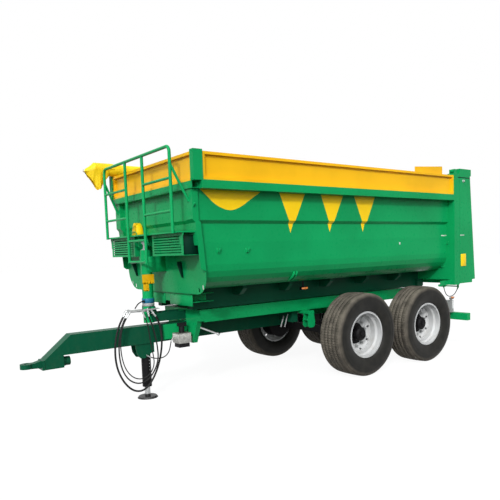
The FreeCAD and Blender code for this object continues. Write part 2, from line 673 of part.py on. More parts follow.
def front_wall():
    face = front_profile(0)
    back = [(px - SHEET, pz) for px, pz in reversed(face)]
    sheet = side_plate(face + back, (-BODY_HALF, BODY_HALF))
    outline = cross_plate(full_outline(wall_outline()), (FRONT_LOW_X - 50, FRONT_X + 50))
    slot_y = TUB_LOW_HALF - 152.0
    slot = block((FRONT_LOW_X - 50, FRONT_X), span(slot_y, 30), (TUB_FLOOR - 25, TUB_FLOOR + 18))
    wall = sheet.common(outline).cut(slot).cut(mirrored(slot))
    return join([wall, both_sides(front_pillar())])


def tub_beams():
    """Two long beams under the tub, with the ears that turn on the chassis pins."""
    inner = BEAM_OUT_Y - BEAM_W
    beam = block((FRAME_REAR_X, BEAM_FRONT_X), (inner, BEAM_OUT_Y), (BEAM_BOTTOM, TUB_FLOOR))
    ear_y = (RAIL_OUT_Y + 6, RAIL_OUT_Y + 6 + EAR_T)
    ear = block(span(HINGE_X, 2 * EAR_R), (BEAM_OUT_Y, ear_y[1]), (BEAM_BOTTOM, REAR_BOTTOM - 5))
    plate = block(span(HINGE_X, 2 * EAR_R), ear_y, (HINGE_Z, BEAM_BOTTOM))
    round_end = rod((HINGE_X, ear_y[0], HINGE_Z), (HINGE_X, ear_y[1], HINGE_Z), EAR_R)
    hole = rod((HINGE_X, RAIL_OUT_Y, HINGE_Z), (HINGE_X, ear_y[1] + 20, HINGE_Z),
               HINGE_PIN_R + RUNNING_GAP)
    side = join([beam, ear, plate, round_end]).cut(hole)
    return Part.makeCompound([side, mirrored(side)])


def cross_bearers():
    """Short members under the tub's floor: one between the beams and one outboard of each."""
    inner = BEAM_OUT_Y - BEAM_W
    parts = []
    for middle in BEARERS:
        x = span(middle, 60)
        parts.append(block(x, (-inner, inner), (BEARER_LOW, TUB_FLOOR)))
        end = cross_plate([(BEAM_OUT_Y, BEARER_LOW), (BEAM_OUT_Y + BEARER_REACH * 0.6, BEARER_LOW),
                           (BEAM_OUT_Y + BEARER_REACH, TUB_FLOOR - 40),
                           (BEAM_OUT_Y + BEARER_REACH, TUB_FLOOR), (BEAM_OUT_Y, TUB_FLOOR)], x)
        parts += [end, mirrored(end)]
    return Part.makeCompound(parts)


def front_skirt():
    """Open box across the beams' front ends, under the tub."""
    shell = block(SKIRT_X, (-SKIRT_HALF, SKIRT_HALF), SKIRT_Z)
    wall = SKIRT_WALL
    hollow = block((SKIRT_X[0] - 5, SKIRT_X[1] - wall), (-SKIRT_HALF - 5, SKIRT_HALF + 5),
                   (SKIRT_Z[0] + wall, SKIRT_Z[1] - wall))
    web = block((SKIRT_X[0] + 20, SKIRT_X[1] - wall),
                (BEAM_OUT_Y, BEAM_OUT_Y + wall), SKIRT_Z)
    beam = block((SKIRT_X[0] - 5, BEAM_FRONT_X), (BEAM_OUT_Y - BEAM_W, BEAM_OUT_Y),
                 (SKIRT_Z[0] - 5, SKIRT_Z[1] + 5))
    rise = block((FRONT_LOW_X - 60, FRONT_LOW_X - 52), (-SKIRT_HALF, SKIRT_HALF),
                 (SKIRT_Z[1], TUB_FLOOR))
    whole = join([shell.cut(hollow), both_sides(web), rise])
    return whole.cut(both_sides(beam))


def side_markers():
    """Marker lamp on a small bracket under each side of the tub."""
    y = BEAM_OUT_Y + BEARER_REACH
    stay = block(span(MARKER_X, 30), (y, y + 6), (1150, TUB_FLOOR))
    lamp = block(span(MARKER_X, 115), (y + 6, y + 34), (1145, 1185))
    whole = join([stay, lamp])
    return Part.makeCompound([whole, mirrored(whole)])


def rear_frame():
    foot_in = BODY_HALF - REAR_FOOT_W
    outline = [(BODY_HALF, REAR_TOP), (BODY_HALF, REAR_FOOT), (foot_in, REAR_FOOT),
               (foot_in, REAR_BOTTOM)]
    outline = outline + [(-py, pz) for py, pz in reversed(outline)]
    frame = cross_plate(outline, (FRAME_REAR_X, REAR_X))
    opening = cross_plate(full_outline(tub_inner(), REAR_TOP + 10), (FRAME_REAR_X - 5, REAR_X + 5))
    beams = block((FRAME_REAR_X - 5, REAR_X + 5), (BEAM_OUT_Y - BEAM_W, BEAM_OUT_Y),
                  (BEAM_BOTTOM, TUB_FLOOR))
    frame = frame.cut(opening).cut(both_sides(beams))
    reach = GATE_ARM_W / 2 + 3
    lugs = [block(span(GATE_PIVOT_X, 50), span(GATE_ARM_Y + side * (reach + GATE_LUG_T / 2),
                                               GATE_LUG_T),
                  (REAR_TOP, GATE_PIVOT_Z + 25)) for side in (1, -1)]
    pin = rod((GATE_PIVOT_X, GATE_ARM_Y - reach - GATE_LUG_T, GATE_PIVOT_Z),
              (GATE_PIVOT_X, GATE_ARM_Y + reach + GATE_LUG_T, GATE_PIVOT_Z), GATE_PIN_R)
    return join([frame, both_sides(join(lugs + [pin]))])


def gate_locks():
    """Cylinder, rod and hook under each rear corner that hold the tailgate shut."""
    slope = (LOCK_REAR[1] - LOCK_FRONT[1]) / (LOCK_REAR[0] - LOCK_FRONT[0])
    can_rear = LOCK_FRONT[0] - 150
    can_z = LOCK_FRONT[1] + slope * (can_rear - LOCK_FRONT[0])
    can = slide_bar(LOCK_FRONT, (can_rear, can_z), LOCK_Y, 17)
    bar = slide_bar((can_rear + 5, can_z), LOCK_REAR, LOCK_Y, 9)
    hook = block((LOCK_REAR[0] - 20, LOCK_REAR[0] + 12), span(LOCK_Y, 14), (985, GATE_BOTTOM - 10))
    front_end = block(span(LOCK_FRONT[0] - 10, 30), (LOCK_Y, BODY_HALF - REAR_FOOT_W + 8),
                      span(LOCK_FRONT[1], 28))
    stay = block((REAR_X, LOCK_FRONT[0] + 5),
                 (BODY_HALF - REAR_FOOT_W, BODY_HALF - REAR_FOOT_W + 8), (1048, 1118))
    ports = [fitting(LOCK_LINE[0], LOCK_LINE[1], LOCK_HOSE_R, 36),
             fitting(LOCK_LINE[-1], LOCK_LINE[-2], LOCK_HOSE_R, 32)]
    near = join([can, bar, hook, front_end, stay] + ports)
    far = mirrored(join([can, bar, hook, front_end, stay]))
    return Part.makeCompound([near, far])


def top_rails():
    side = block((REAR_X, FRONT_X - SHEET), (TUB_HALF, BODY_HALF), (TUB_TOP, BOARD_LOW))
    front = block(FRONT_RAIL_X, (-FRONT_RAIL_HALF, FRONT_RAIL_HALF), FRONT_RAIL_Z)
    hollow = block((FRONT_RAIL_X[0] + 5, FRONT_RAIL_X[1] - 5),
                   (-FRONT_RAIL_HALF - 5, FRONT_RAIL_HALF + 5),
                   (FRONT_RAIL_Z[0] + 5, FRONT_RAIL_Z[1] - 5))
    post = block(POST_X, (BODY_HALF - POST_W, BODY_HALF), (FRONT_RAIL_Z[1], BOARD_TOP + POST_RISE))
    return join([both_sides(side), front.cut(hollow), both_sides(post)])


def framed_board(length_span, thick_span, z, along):
    """Pressed board with flanges all round that face outwards."""
    if along == "x":
        board = block(length_span, thick_span, z)
        field = block((length_span[0] + 30, length_span[1] - 30),
                      (thick_span[0] + 6, thick_span[1] + 1), (z[0] + 30, z[1] - 30))
    else:
        board = block(thick_span, length_span, z)
        field = block((thick_span[0] + 6, thick_span[1] + 1),
                      (length_span[0] + 30, length_span[1] - 30), (z[0] + 30, z[1] - 30))
    return board.cut(field)


def side_boards():
    outer = BODY_HALF - 10
    side = framed_board((REAR_X, POST_X[0]), (outer - BOARD_T, outer), (BOARD_LOW, BOARD_TOP), "x")
    return Part.makeCompound([side, mirrored(side)])


def front_board():
    outer = FRONT_RAIL_X[1] - 10
    half = BODY_HALF - POST_W
    return framed_board((-half, half), (outer - BOARD_T, outer), (FRONT_RAIL_Z[1], BOARD_TOP), "y")


def gate_outline(rear_inset, wall):
    """(x, z) points of the tailgate's side, its rear face moved in and all of it shrunk."""
    front = FRAME_REAR_X - GATE_GAP - wall
    top = GATE_TOP - wall * 2
    top_rear = GATE_TOP_REAR_X + rear_inset + wall
    low_rear = GATE_LOW_REAR_X + rear_inset + wall
    toe = GATE_LOW_REAR_X + GATE_TOE + wall
    low = GATE_LOW_Z + wall * 2
    return [(front, top), (top_rear, top), (low_rear, low), (toe, low - 5),
            (toe, GATE_BOTTOM + wall * 5), (front, GATE_BOTTOM + wall * 5)]


def gate_ribs():
    """Ribs, rails and the grain slide that stand on the tailgate's rear sheet."""
    full = gate_outline(0, 0)
    half = BODY_HALF
    width = GATE_RIB_W
    ribs = [side_plate(full, (half - width, half)), side_plate(full, span(half / 3, width))]
    whole = join([both_sides(rib) for rib in ribs])
    slab = side_plate(full, (-half, half))
    reach = (GATE_LOW_REAR_X - 50, FRAME_REAR_X)
    rails = [slab.common(block(reach, (-half, half), z))
             for z in ((GATE_LOW_Z - 10, GATE_LOW_Z + 80), (GATE_TOP - 90, GATE_TOP + 5))]
    chute_half, chute_low, chute_high = CHUTE
    plate = side_plate(gate_outline(GATE_RIB - 12, 0), (-chute_half, chute_half))
    chute = plate.common(block(reach, (-half, half), (chute_low, chute_high)))
    return join([whole] + rails + [chute])


def tailgate():
    front = FRAME_REAR_X - GATE_GAP
    shell = side_plate(gate_outline(GATE_RIB, 0), (-BODY_HALF, BODY_HALF))
    hollow = gate_outline(GATE_RIB, GATE_WALL)
    hollow = [(front + 5, hollow[0][1])] + hollow[1:-1] + [(front + 5, hollow[-1][1])]
    inside = side_plate(hollow, (-BODY_HALF + GATE_WALL, BODY_HALF - GATE_WALL))
    cap = block((GATE_CAP_REAR_X, front), (BODY_HALF - GATE_CAP_W, BODY_HALF),
                (GATE_TOP, GATE_TOP + GATE_CAP_H))
    arm_y = span(GATE_ARM_Y, GATE_ARM_W)
    arm = block((front, GATE_PIVOT_X), arm_y, span(GATE_PIVOT_Z, 60))
    nose = rod((GATE_PIVOT_X, arm_y[0], GATE_PIVOT_Z), (GATE_PIVOT_X, arm_y[1], GATE_PIVOT_Z), 30)
    hole = rod((GATE_PIVOT_X, arm_y[0] - 10, GATE_PIVOT_Z),
               (GATE_PIVOT_X, arm_y[1] + 10, GATE_PIVOT_Z), GATE_PIN_R + RUNNING_GAP)
    arms = both_sides(join([arm, nose]).cut(hole))
    return join([join([shell, gate_ribs()]).cut(inside), both_sides(cap), arms])


# ---- front platform -----------------------------------------------------------------------
def platform_gusset():
    """Plate under the deck's end that runs down in a curve to the louvred box."""
    outer = PLATFORM_HALF
    points = [(LOUVRE_HALF[1] - 60, PLATFORM_Z), (outer, PLATFORM_Z), (outer, PLATFORM_Z - 22)]
    reach, drop = outer - LOUVRE_HALF[1] + 2, 100
    for step in range(1, 5):
        turn = math.radians(90.0 * step / 4)
        points.append((outer - reach * math.sin(turn), PLATFORM_Z - 22 - drop * (1 - math.cos(turn))))
    points.append((LOUVRE_HALF[1] - 60, PLATFORM_Z - 22 - drop))
    return cross_plate(points, (LOUVRE_X, LOUVRE_X + 6))


def platform():
    deck = block((FRONT_LOW_X, PLATFORM_X - HANDRAIL_R), (-PLATFORM_HALF, PLATFORM_HALF),
                 (PLATFORM_Z, PLATFORM_Z + PLATFORM_T))
    front = block((LOUVRE_X - 5, LOUVRE_X), LOUVRE_HALF, (LOUVRE_BOTTOM, PLATFORM_Z))
    slots = []
    pitch = (PLATFORM_Z - LOUVRE_BOTTOM - 40) / LOUVRE_COUNT
    for n in range(LOUVRE_COUNT):
        low = LOUVRE_BOTTOM + 25 + pitch * n
        slots.append(block((LOUVRE_X - 10, LOUVRE_X + 5),
                           (LOUVRE_HALF[0] + 40, LOUVRE_HALF[1] - 40), (low, low + pitch * 0.4)))
    front = front.cut(Part.makeCompound(slots))
    bottom = block((FRONT_LOW_X, LOUVRE_X), LOUVRE_HALF, (LOUVRE_BOTTOM, LOUVRE_BOTTOM + 5))
    cheek = block((FRONT_LOW_X, LOUVRE_X), (LOUVRE_HALF[0], LOUVRE_HALF[0] + 5),
                  (LOUVRE_BOTTOM, PLATFORM_Z))
    inner = RAM_TUBE_R + 7 + CLEAR
    ear = block((FRONT_LOW_X, RAM_X + 45), (inner, inner + 14), (RAM_EYE_Z - 45, PLATFORM_Z))
    stub = rod((RAM_X, RAM_EYE_HALF + CLEAR, RAM_EYE_Z), (RAM_X, inner, RAM_EYE_Z), 18)
    whole = join([deck, both_sides(join([front, bottom, cheek, platform_gusset()])),
                  both_sides(join([ear, stub]))])
    behind = front_profile(0) + [(FRONT_LOW_X - 60, FRONT_EDGE_Z), (FRONT_LOW_X - 60, TUB_TOP)]
    return whole.cut(side_plate(behind, (-BODY_HALF, BODY_HALF))).cut(both_sides(front_pillar()))


def handrail_tube(gap=0.0):
    """Bent top rail with its two end posts, down to the deck."""
    x = PLATFORM_X
    half = HANDRAIL_HALF
    low = PLATFORM_Z - 6
    hoop = [(x, -half, low), (x, -half, HANDRAIL_TOP), (x, half, HANDRAIL_TOP), (x, half, low)]
    return bent_tube(hoop, HANDRAIL_R + gap, HANDRAIL_BEND)


def handrail_bends():
    """The two quarter bends of the handrail."""
    tube = handrail_tube()
    reach = HANDRAIL_BEND + 1
    corner = block((PLATFORM_X - 50, PLATFORM_X + 50),
                   (HANDRAIL_HALF - reach, HANDRAIL_HALF + 50),
                   (HANDRAIL_TOP - reach, HANDRAIL_TOP + 50))
    bend = tube.common(corner)
    return Part.makeCompound([bend, mirrored(bend)])


def railing():
    """Straight runs of the handrail: its two end posts and the bar across the top."""
    x = PLATFORM_X
    half = HANDRAIL_HALF
    reach = HANDRAIL_BEND + 1
    post = rod((x, half, PLATFORM_Z - 6), (x, half, HANDRAIL_TOP - reach), HANDRAIL_R)
    top = rod((x, reach - half, HANDRAIL_TOP), (x, half - reach, HANDRAIL_TOP), HANDRAIL_R)
    return Part.makeCompound([top, post, mirrored(post)])


def ladder_stiles(gap=0.0):
    low = LADDER_BOTTOM - 15
    stile = rod((PLATFORM_X, LADDER_HALF, low), (PLATFORM_X, LADDER_HALF, HANDRAIL_TOP),
                HANDRAIL_R + gap)
    return Part.makeCompound([stile, mirrored(stile)])


def ladder():
    """Two stiles up to the handrail and the rungs between them."""
    x = PLATFORM_X
    reach = LADDER_HALF
    rungs = [rod((x, -reach, z), (x, reach, z), HANDRAIL_R - 3)
             for z in (LADDER_BOTTOM, LADDER_BOTTOM + RUNG_STEP)]
    rungs = Part.makeCompound(rungs).cut(ladder_stiles(SEAT_GAP))
    stiles = ladder_stiles().cut(handrail_tube(SEAT_GAP))
    return Part.makeCompound(stiles.Solids + rungs.Solids)


def railing_bars():
    """Bars between the ladder's stiles and the end posts."""
    x = PLATFORM_X
    bars = [rod((x, side * LADDER_HALF, z), (x, side * HANDRAIL_HALF, z), HANDRAIL_R - 3)
            for side in (1, -1) for z in (PLATFORM_Z + LOW_BAR_UP, HANDRAIL_TOP - MID_BAR_DOWN)]
    return Part.makeCompound(bars).cut(ladder_stiles(SEAT_GAP)).cut(handrail_tube(SEAT_GAP))


def railing_stays():
    """Slanting stays from the end posts back to the pillars."""
    foot_x = FRONT_X + PILLAR_T - 3
    stay = rod((PLATFORM_X, HANDRAIL_HALF, HANDRAIL_TOP - BRACE_DOWN),
               (foot_x, HANDRAIL_HALF + 42, TUB_TOP - BRACE_FOOT), HANDRAIL_R - 3)
    wall = block((FRONT_X - 100, FRONT_X + PILLAR_T), (-BODY_HALF, BODY_HALF),
                 (CREASE_TOP + 8, TUB_TOP))
    stay = stay.cut(wall).cut(handrail_tube(SEAT_GAP))
    return Part.makeCompound([stay, mirrored(stay)])


def hose_holder():
    """Flat bar on the near cradle arm that the hoses hang from."""
    y = CRADLE_IN_Y + CRADLE_T
    bar = block((RAM_X - 60, HOLDER_END_X), (y, y + HOLDER_W), (HOLDER_Z, HOLDER_Z + 10))
    lip = block((RAM_X + 50, HOLDER_END_X), (y, y + 8), (HOLDER_Z - 22, HOLDER_Z))
    clamp = block((HOLDER_END_X - 35, HOLDER_END_X), (y, y + HOLDER_W + 6),
                  (HOLDER_Z - 12, HOLDER_Z + 20))
    parts = [bar, lip, clamp]
    for route, radius in ((LOOP_OUTER, HOSE_R), (LOOP_INNER, THIN_HOSE_R), (LOOP_CABLE, CABLE_R)):
        parts.append(fitting(route[0], route[1], radius, 34))
        parts.append(fitting(route[-1], route[-2], radius, 52))
    return join(parts)


def brake_valve():
    x, y, z = VALVE_AT
    half_x, half_y = VALVE_HALF
    top = z + VALVE_H
    body = block((x - half_x, x + half_x), (y - half_y, y + half_y), (z, top))
    base = block((x - half_x + 14, x + half_x - 14), (y - half_y + 14, y + half_y - 14), (z - 50, z))
    neck = rod((x, y, top), (x, y, RAIL_BOTTOM - 45), 34)
    bracket = block((x - 55, x + 45), (y - 28, y + 28), (RAIL_BOTTOM - 45, RAIL_BOTTOM - 5))
    stay = block((CROSS_X + CROSS_DEPTH, x - half_x), (y - 20, y + 20), (z + 40, z + 60))
    port = fitting(JACK_LINE[-1], JACK_LINE[-2], JACK_HOSE_R, 42)
    return join([body, base, neck, bracket, stay, port])


def bent_route(points, bend=None):
    """Straight runs joined by tangent arcs, of one bend or as large as the runs allow.

    Returns the wire and its least bend."""
    stops = [V(*point) for point in points]
    edges = []
    at = stops[0]
    least = None
    for before, corner, after in zip(stops, stops[1:], stops[2:]):
        back = (before - corner).normalize()
        ahead = (after - corner).normalize()
        half_turn = (math.pi - back.getAngle(ahead)) / 2
        shorter = min((before - corner).Length, (after - corner).Length)
        turn_r = bend or 0.45 * shorter / math.tan(half_turn)
        least = turn_r if least is None else min(least, turn_r)
        reach = turn_r * math.tan(half_turn)
        start = corner + back * reach
        end = corner + ahead * reach
        middle_way = (back + ahead).normalize()
        top = corner + middle_way * (turn_r / math.cos(half_turn) - turn_r)
        edges.append(Part.makeLine(at, start))
        edges.append(Part.Arc(start, top, end).toShape())
        at = end
    edges.append(Part.makeLine(at, stops[-1]))
    return Part.Wire(edges), least


def bent_tube(points, radius, bend=None):
    """Solid round bar along a bent route."""
    route, least = bent_route(points, bend)
    ring_edge = Part.makeCircle(radius, V(*points[0]), V(*points[1]) - V(*points[0]))
    return route.makePipeShell([Part.Wire(ring_edge)], True, True)


def cord(points, radius):
    """Round hose along its route; prints its least bend and its length."""
    route, least = bent_route(points)
    solid = bent_tube(points, radius)
    share = solid.Volume / (math.pi * radius ** 2 * route.Length)
    print(f"cord radius {radius:.1f}: least bend {least:.0f}, length {route.Length:.0f}, "
          f"volume share {share:.4f}")
    return solid


def tarp_roll():
    """Rolled tarpaulin on the far boards, with the flap that hangs from its front end."""
    z = BOARD_TOP + TARP_R
    roll = rod((TARP_X[0], TARP_Y, z), (TARP_X[1], TARP_Y, z), TARP_R)
    pole = rod((TARP_X[1], TARP_Y, z), (TARP_POLE_END, TARP_Y, z - 30), TARP_POLE_R)
    front = POST_X[1] + CLEAR
    flap = side_plate([(front, z), (TARP_X[1] + 35, z + 10), (TARP_X[1] - 20, z - 250),
                       (TARP_X[1] - 60, z - 262), (front + 60, z - 110)],
                      span(TARP_Y, TARP_FLAP_T))
    post = block((POST_X[0] - CLEAR, POST_X[1] + CLEAR), (-BODY_HALF - CLEAR, -BODY_HALF + POST_W + CLEAR),
                 (BOARD_TOP, BOARD_TOP + POST_RISE + CLEAR))
    return join([roll, pole, flap]).cut(post)


def tarp_stop():
    """Plate that stands behind the near side boards."""
    y = BODY_HALF - 10 - BOARD_T
    low = BOARD_TOP - STOP_LAP
    return side_plate([(STOP_X[0], low), (STOP_X[0], BOARD_TOP + STOP_RISE[0]),
                       (STOP_X[1], BOARD_TOP + STOP_RISE[1]), (STOP_X[1], low)], (y - STOP_T, y))


def main():
    os.makedirs("parts", exist_ok=True)
    axle_x = {"front": AXLE_SPACING / 2, "rear": -AXLE_SPACING / 2}
    sides = {"left": 1, "right": -1}
    save("chassis_frame", chassis_frame())
    save("drawbar", drawbar())
    save("drawbar_gussets", drawbar_gussets())
    save("tow_eye", tow_eye())
    save("jack_tube", jack_tube())
    save("jack_foot", jack_foot())
    save("rear_bumper", rear_bumper())
    save("light_units", light_units())
    save("leaf_springs", leaf_springs())
    save("spring_hangers", spring_hangers())
    for place, middle in axle_x.items():
        save(f"axle_{place}", axle(middle))
        for side_name, side in sides.items():
            corner = f"{place}_{side_name}"
            save(f"tyre_{corner}", tyre(middle, side))
            save(f"rim_{corner}", rim(middle, side))
            save(f"hub_{corner}", hub(middle, side))
    save("ram_cradle", ram_cradle())
    save("ram_tube", ram_tube())
    for n in range(1, RAM_STAGES + 1):
        save(f"ram_stage_{n}", ram_stage(n))
    save("tub_shell", tub_shell())
    save("front_wall", front_wall())
    save("tub_beams", tub_beams())
    save("cross_bearers", cross_bearers())
    save("front_skirt", front_skirt())
    save("side_markers", side_markers())
    save("gate_locks", gate_locks())
    save("rear_frame", rear_frame())
    save("top_rails", top_rails())
    save("side_boards", side_boards())
    save("front_board", front_board())
    save("platform", platform())
    save("railing", railing())
    save("handrail_bends", handrail_bends())
    save("ladder", ladder())
    save("railing_bars", railing_bars())
    save("railing_stays", railing_stays())
    save("tarp_roll", tarp_roll())
    save("tarp_stop", tarp_stop())
    save("hose_holder", hose_holder())
    save("brake_valve", brake_valve())
    save("hose_outer", cord(LOOP_OUTER, HOSE_R))
    save("hose_inner", cord(LOOP_INNER, THIN_HOSE_R))
    save("hose_cable", cord(LOOP_CABLE, CABLE_R))
    save("lock_hose", cord(LOCK_LINE, LOCK_HOSE_R))
    save("jack_hose", cord(JACK_LINE, JACK_HOSE_R))
    save("tailgate", tailgate())


main()
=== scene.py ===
"""Finishes, tyres, cloth, hoses and trim of a farm tipping trailer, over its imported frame."""

import math

import bmesh
import bpy
from bpy.props import FloatProperty, FloatVectorProperty, IntProperty, PointerProperty
from mathutils import Matrix, Vector


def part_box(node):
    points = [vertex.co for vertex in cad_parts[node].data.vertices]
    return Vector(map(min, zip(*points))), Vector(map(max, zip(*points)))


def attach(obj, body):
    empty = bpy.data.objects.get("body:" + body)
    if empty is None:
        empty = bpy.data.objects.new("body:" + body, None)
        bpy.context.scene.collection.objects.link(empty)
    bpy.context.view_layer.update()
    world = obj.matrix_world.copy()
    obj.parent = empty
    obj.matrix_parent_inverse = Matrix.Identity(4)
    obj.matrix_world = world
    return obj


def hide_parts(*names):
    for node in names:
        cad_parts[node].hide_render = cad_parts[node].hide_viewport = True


bl_info = {
    "name": "Farm Tipping Trailer",
    "version": (1, 0, 0),
    "blender": (4, 5, 0),
    "location": "View3D > Sidebar > Trailer",
    "description": "Dresses the frame of a two-axle tipping trailer",
    "category": "Object",
}

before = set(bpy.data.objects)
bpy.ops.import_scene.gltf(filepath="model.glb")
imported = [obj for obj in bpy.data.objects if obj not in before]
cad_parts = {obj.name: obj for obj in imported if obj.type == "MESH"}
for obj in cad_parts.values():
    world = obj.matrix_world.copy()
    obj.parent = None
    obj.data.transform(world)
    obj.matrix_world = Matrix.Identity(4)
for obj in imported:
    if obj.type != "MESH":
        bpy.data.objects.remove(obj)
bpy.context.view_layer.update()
SIDES = {"left": 1, "right": -1}
WHEELS = [f"{place}_{side}" for place in ("front", "rear") for side in SIDES]


def middle(node):
    low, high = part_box(node)
    return (low + high) / 2


def half_sizes(node):
    return [(high - low) / 2 for low, high in zip(*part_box(node))]


def outer_face(node, side):
    """Where a wheel's node ends on its outer side."""
    low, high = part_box(node)
    return high.y if side > 0 else low.y


AXLES_X = (middle("tyre_front_left").x + middle("tyre_rear_left").x) / 2


def along(x):
    """Place along the trailer, given from the middle between the axles."""
    return AXLES_X + x


def spot(point):
    """Point in the frame, with its x given from the middle between the axles."""
    return Vector((along(point[0]), point[1], point[2]))


def across(side, near, far):
    """Span of y on one side of the trailer, low end first."""
    return (near, far) if side > 0 else (-far, -near)


# ---- properties ----
def colour(name, default, words):
    return FloatVectorProperty(name=name, description=words, subtype="COLOR", size=3,
                               min=0.0, max=1.0, default=default)


def number(name, default, words, **kind):
    return FloatProperty(name=name, description=words, default=default, **kind)


def length(name, default, words):
    return number(name, default, words, unit="LENGTH")


def angle(name, default, words):
    return number(name, default, words, subtype="ANGLE")


class TrailerPaint(bpy.types.PropertyGroup):
    green: colour("Green", (0.004, 0.30, 0.090), "Gloss paint of tub and tailgate")
    # Darker green of the drawbar; on the tub's beams, the cross bearers and the ram's cradle it is
    # painted shade.
    chassis: colour("Chassis green", (0.002, 0.072, 0.034), "Paint of drawbar and chassis")
    yellow: colour("Yellow", (0.86, 0.47, 0.008), "Paint of the boards")
    flag: colour("Flag yellow", (0.98, 0.64, 0.008), "Film of the side motifs")
    white: colour("Wheel white", (0.50, 0.51, 0.51), "Paint of the wheel rims")
    black: colour("Black", (0.007, 0.007, 0.008), "Paint of hubs and jack")
    tarp: colour("Tarpaulin", (0.93, 0.62, 0.010), "Coated cloth of the roll")
    dust: colour("Dust", (0.23, 0.19, 0.14), "Dry dust low on the trailer")


class WheelFittings(bpy.types.PropertyGroup):
    nuts: IntProperty(name="Wheel nuts", description="Nuts on each wheel", default=10)
    nut_circle: length("Nut circle", 0.1675, "Radius of the circle of nuts")
    nut_across: length("Nut size", 0.030, "Across the flats of a wheel nut")
    disc_depth: length("Disc depth", 0.200, "Wheel disc inboard of the rim's edge")


class TyreSizes(bpy.types.PropertyGroup):
    groove_depth: length("Groove depth", 0.013, "Depth of the grooves round the tread")
    groove_width: length("Groove width", 0.011, "Width of the grooves round the tread")
    sipe_depth: length("Sipe depth", 0.0022, "Depth of the cuts across the ribs")
    pitches: IntProperty(name="Pitches", description="Cuts round the tyre", default=100)


class TarpSettings(bpy.types.PropertyGroup):
    roll_radius: length("Roll radius", 0.085, "Outside of the rolled cloth")
    core_radius: length("Core radius", 0.034, "Where the innermost turn starts")
    roll_turns: number("Turns", 5.6, "Turns of cloth in the roll")


class StageSettings(bpy.types.PropertyGroup):
    distance_x: length("Camera X", 5.797, "From the middle between the axles")
    distance_y: length("Camera Y", 5.729, "From the centreline")
    height: length("Camera height", 1.654, "Above the floor")
    yaw: angle("Yaw", 0.926, "Turn of the view")
    pitch: angle("Pitch", -0.083, "Up or down")
    roll: angle("Roll", -0.034, "Lean of the camera")
    lens: number("Lens", 38.7, "Focal length in mm")
    sun_azimuth: number("Sun azimuth", 40, "Degrees from ahead to the left")
    sun_height: number("Sun height", 29, "Degrees above the floor")
    sun_power: number("Sun power", 1.8, "Strength of the sun lamp")
    soft_power: number("Soft light", 3.3, "Wide light round the sun")
    sky_power: number("Sky power", 0.28, "Strength of the sky's light")


# ---- shader nodes ----
def wire(tree, node, **inputs):
    """Sets a node's inputs, each to a value or to an earlier node's socket; i0 is the first."""
    for key, value in inputs.items():
        socket = node.inputs[int(key[1:]) if key[1:].isdigit() else key.replace("_", " ")]
        if isinstance(value, bpy.types.NodeSocket):
            tree.links.new(value, socket)
        else:
            socket.default_value = value


def put(tree, kind, **values):
    """Adds a node; each value sets a property of that name, or else an input."""
    made = tree.nodes.new("ShaderNode" + kind)
    for key in [key for key in values if hasattr(made, key)]:
        setattr(made, key, values.pop(key))
    wire(tree, made, **values)
    return made


def math_node(tree, operation, first, second, clamp=False):
    return put(tree, "Math", operation=operation, use_clamp=clamp, i0=first, i1=second).outputs[0]


def times(tree, first, second, clamp=False):
    return math_node(tree, "MULTIPLY", first, second, clamp)


def plus(tree, first, second, clamp=False):
    return math_node(tree, "ADD", first, second, clamp)


def mix_colour(tree, factor, first, second):
    return put(tree, "Mix", data_type="RGBA", i0=factor, i6=first, i7=second).outputs[2]


def shade(tree, tint, factor):
    """Makes a tint lighter or darker."""
    return put(tree, "VectorMath", operation="SCALE", i0=tint, Scale=factor).outputs[0]


def bump(tree, height, strength, distance):
    return put(tree, "Bump", Strength=strength, Distance=distance, Height=height).outputs[0]


def ramp(tree, value, low, high, to_low=0.0, to_high=1.0):
    return put(tree, "MapRange", interpolation_type="SMOOTHSTEP", Value=value, From_Min=low,
               From_Max=high, To_Min=to_low, To_Max=to_high).outputs[0]


def object_place(tree):
    return put(tree, "TexCoord").outputs["Object"]


def height_of(tree, place):
    return put(tree, "SeparateXYZ", Vector=place).outputs["Z"]


def noise(tree, scale, detail, place=None):
    return put(tree, "TexNoise", Vector=place or object_place(tree), Scale=scale,
               Detail=detail).outputs[0]


def new_group(name, inputs, outputs):
    """Node group with its sockets; gives the tree, what it is given and its output node."""
    group = bpy.data.node_groups.new(name, "ShaderNodeTree")
    for label, kind, default in inputs:
        socket = group.interface.new_socket(label, in_out="INPUT", socket_type=kind)
        socket.default_value = default
    for label, kind in outputs:
        group.interface.new_socket(label, in_out="OUTPUT", socket_type=kind)
    given = group.nodes.new("NodeGroupInput").outputs
    return group, given, group.nodes.new("NodeGroupOutput")


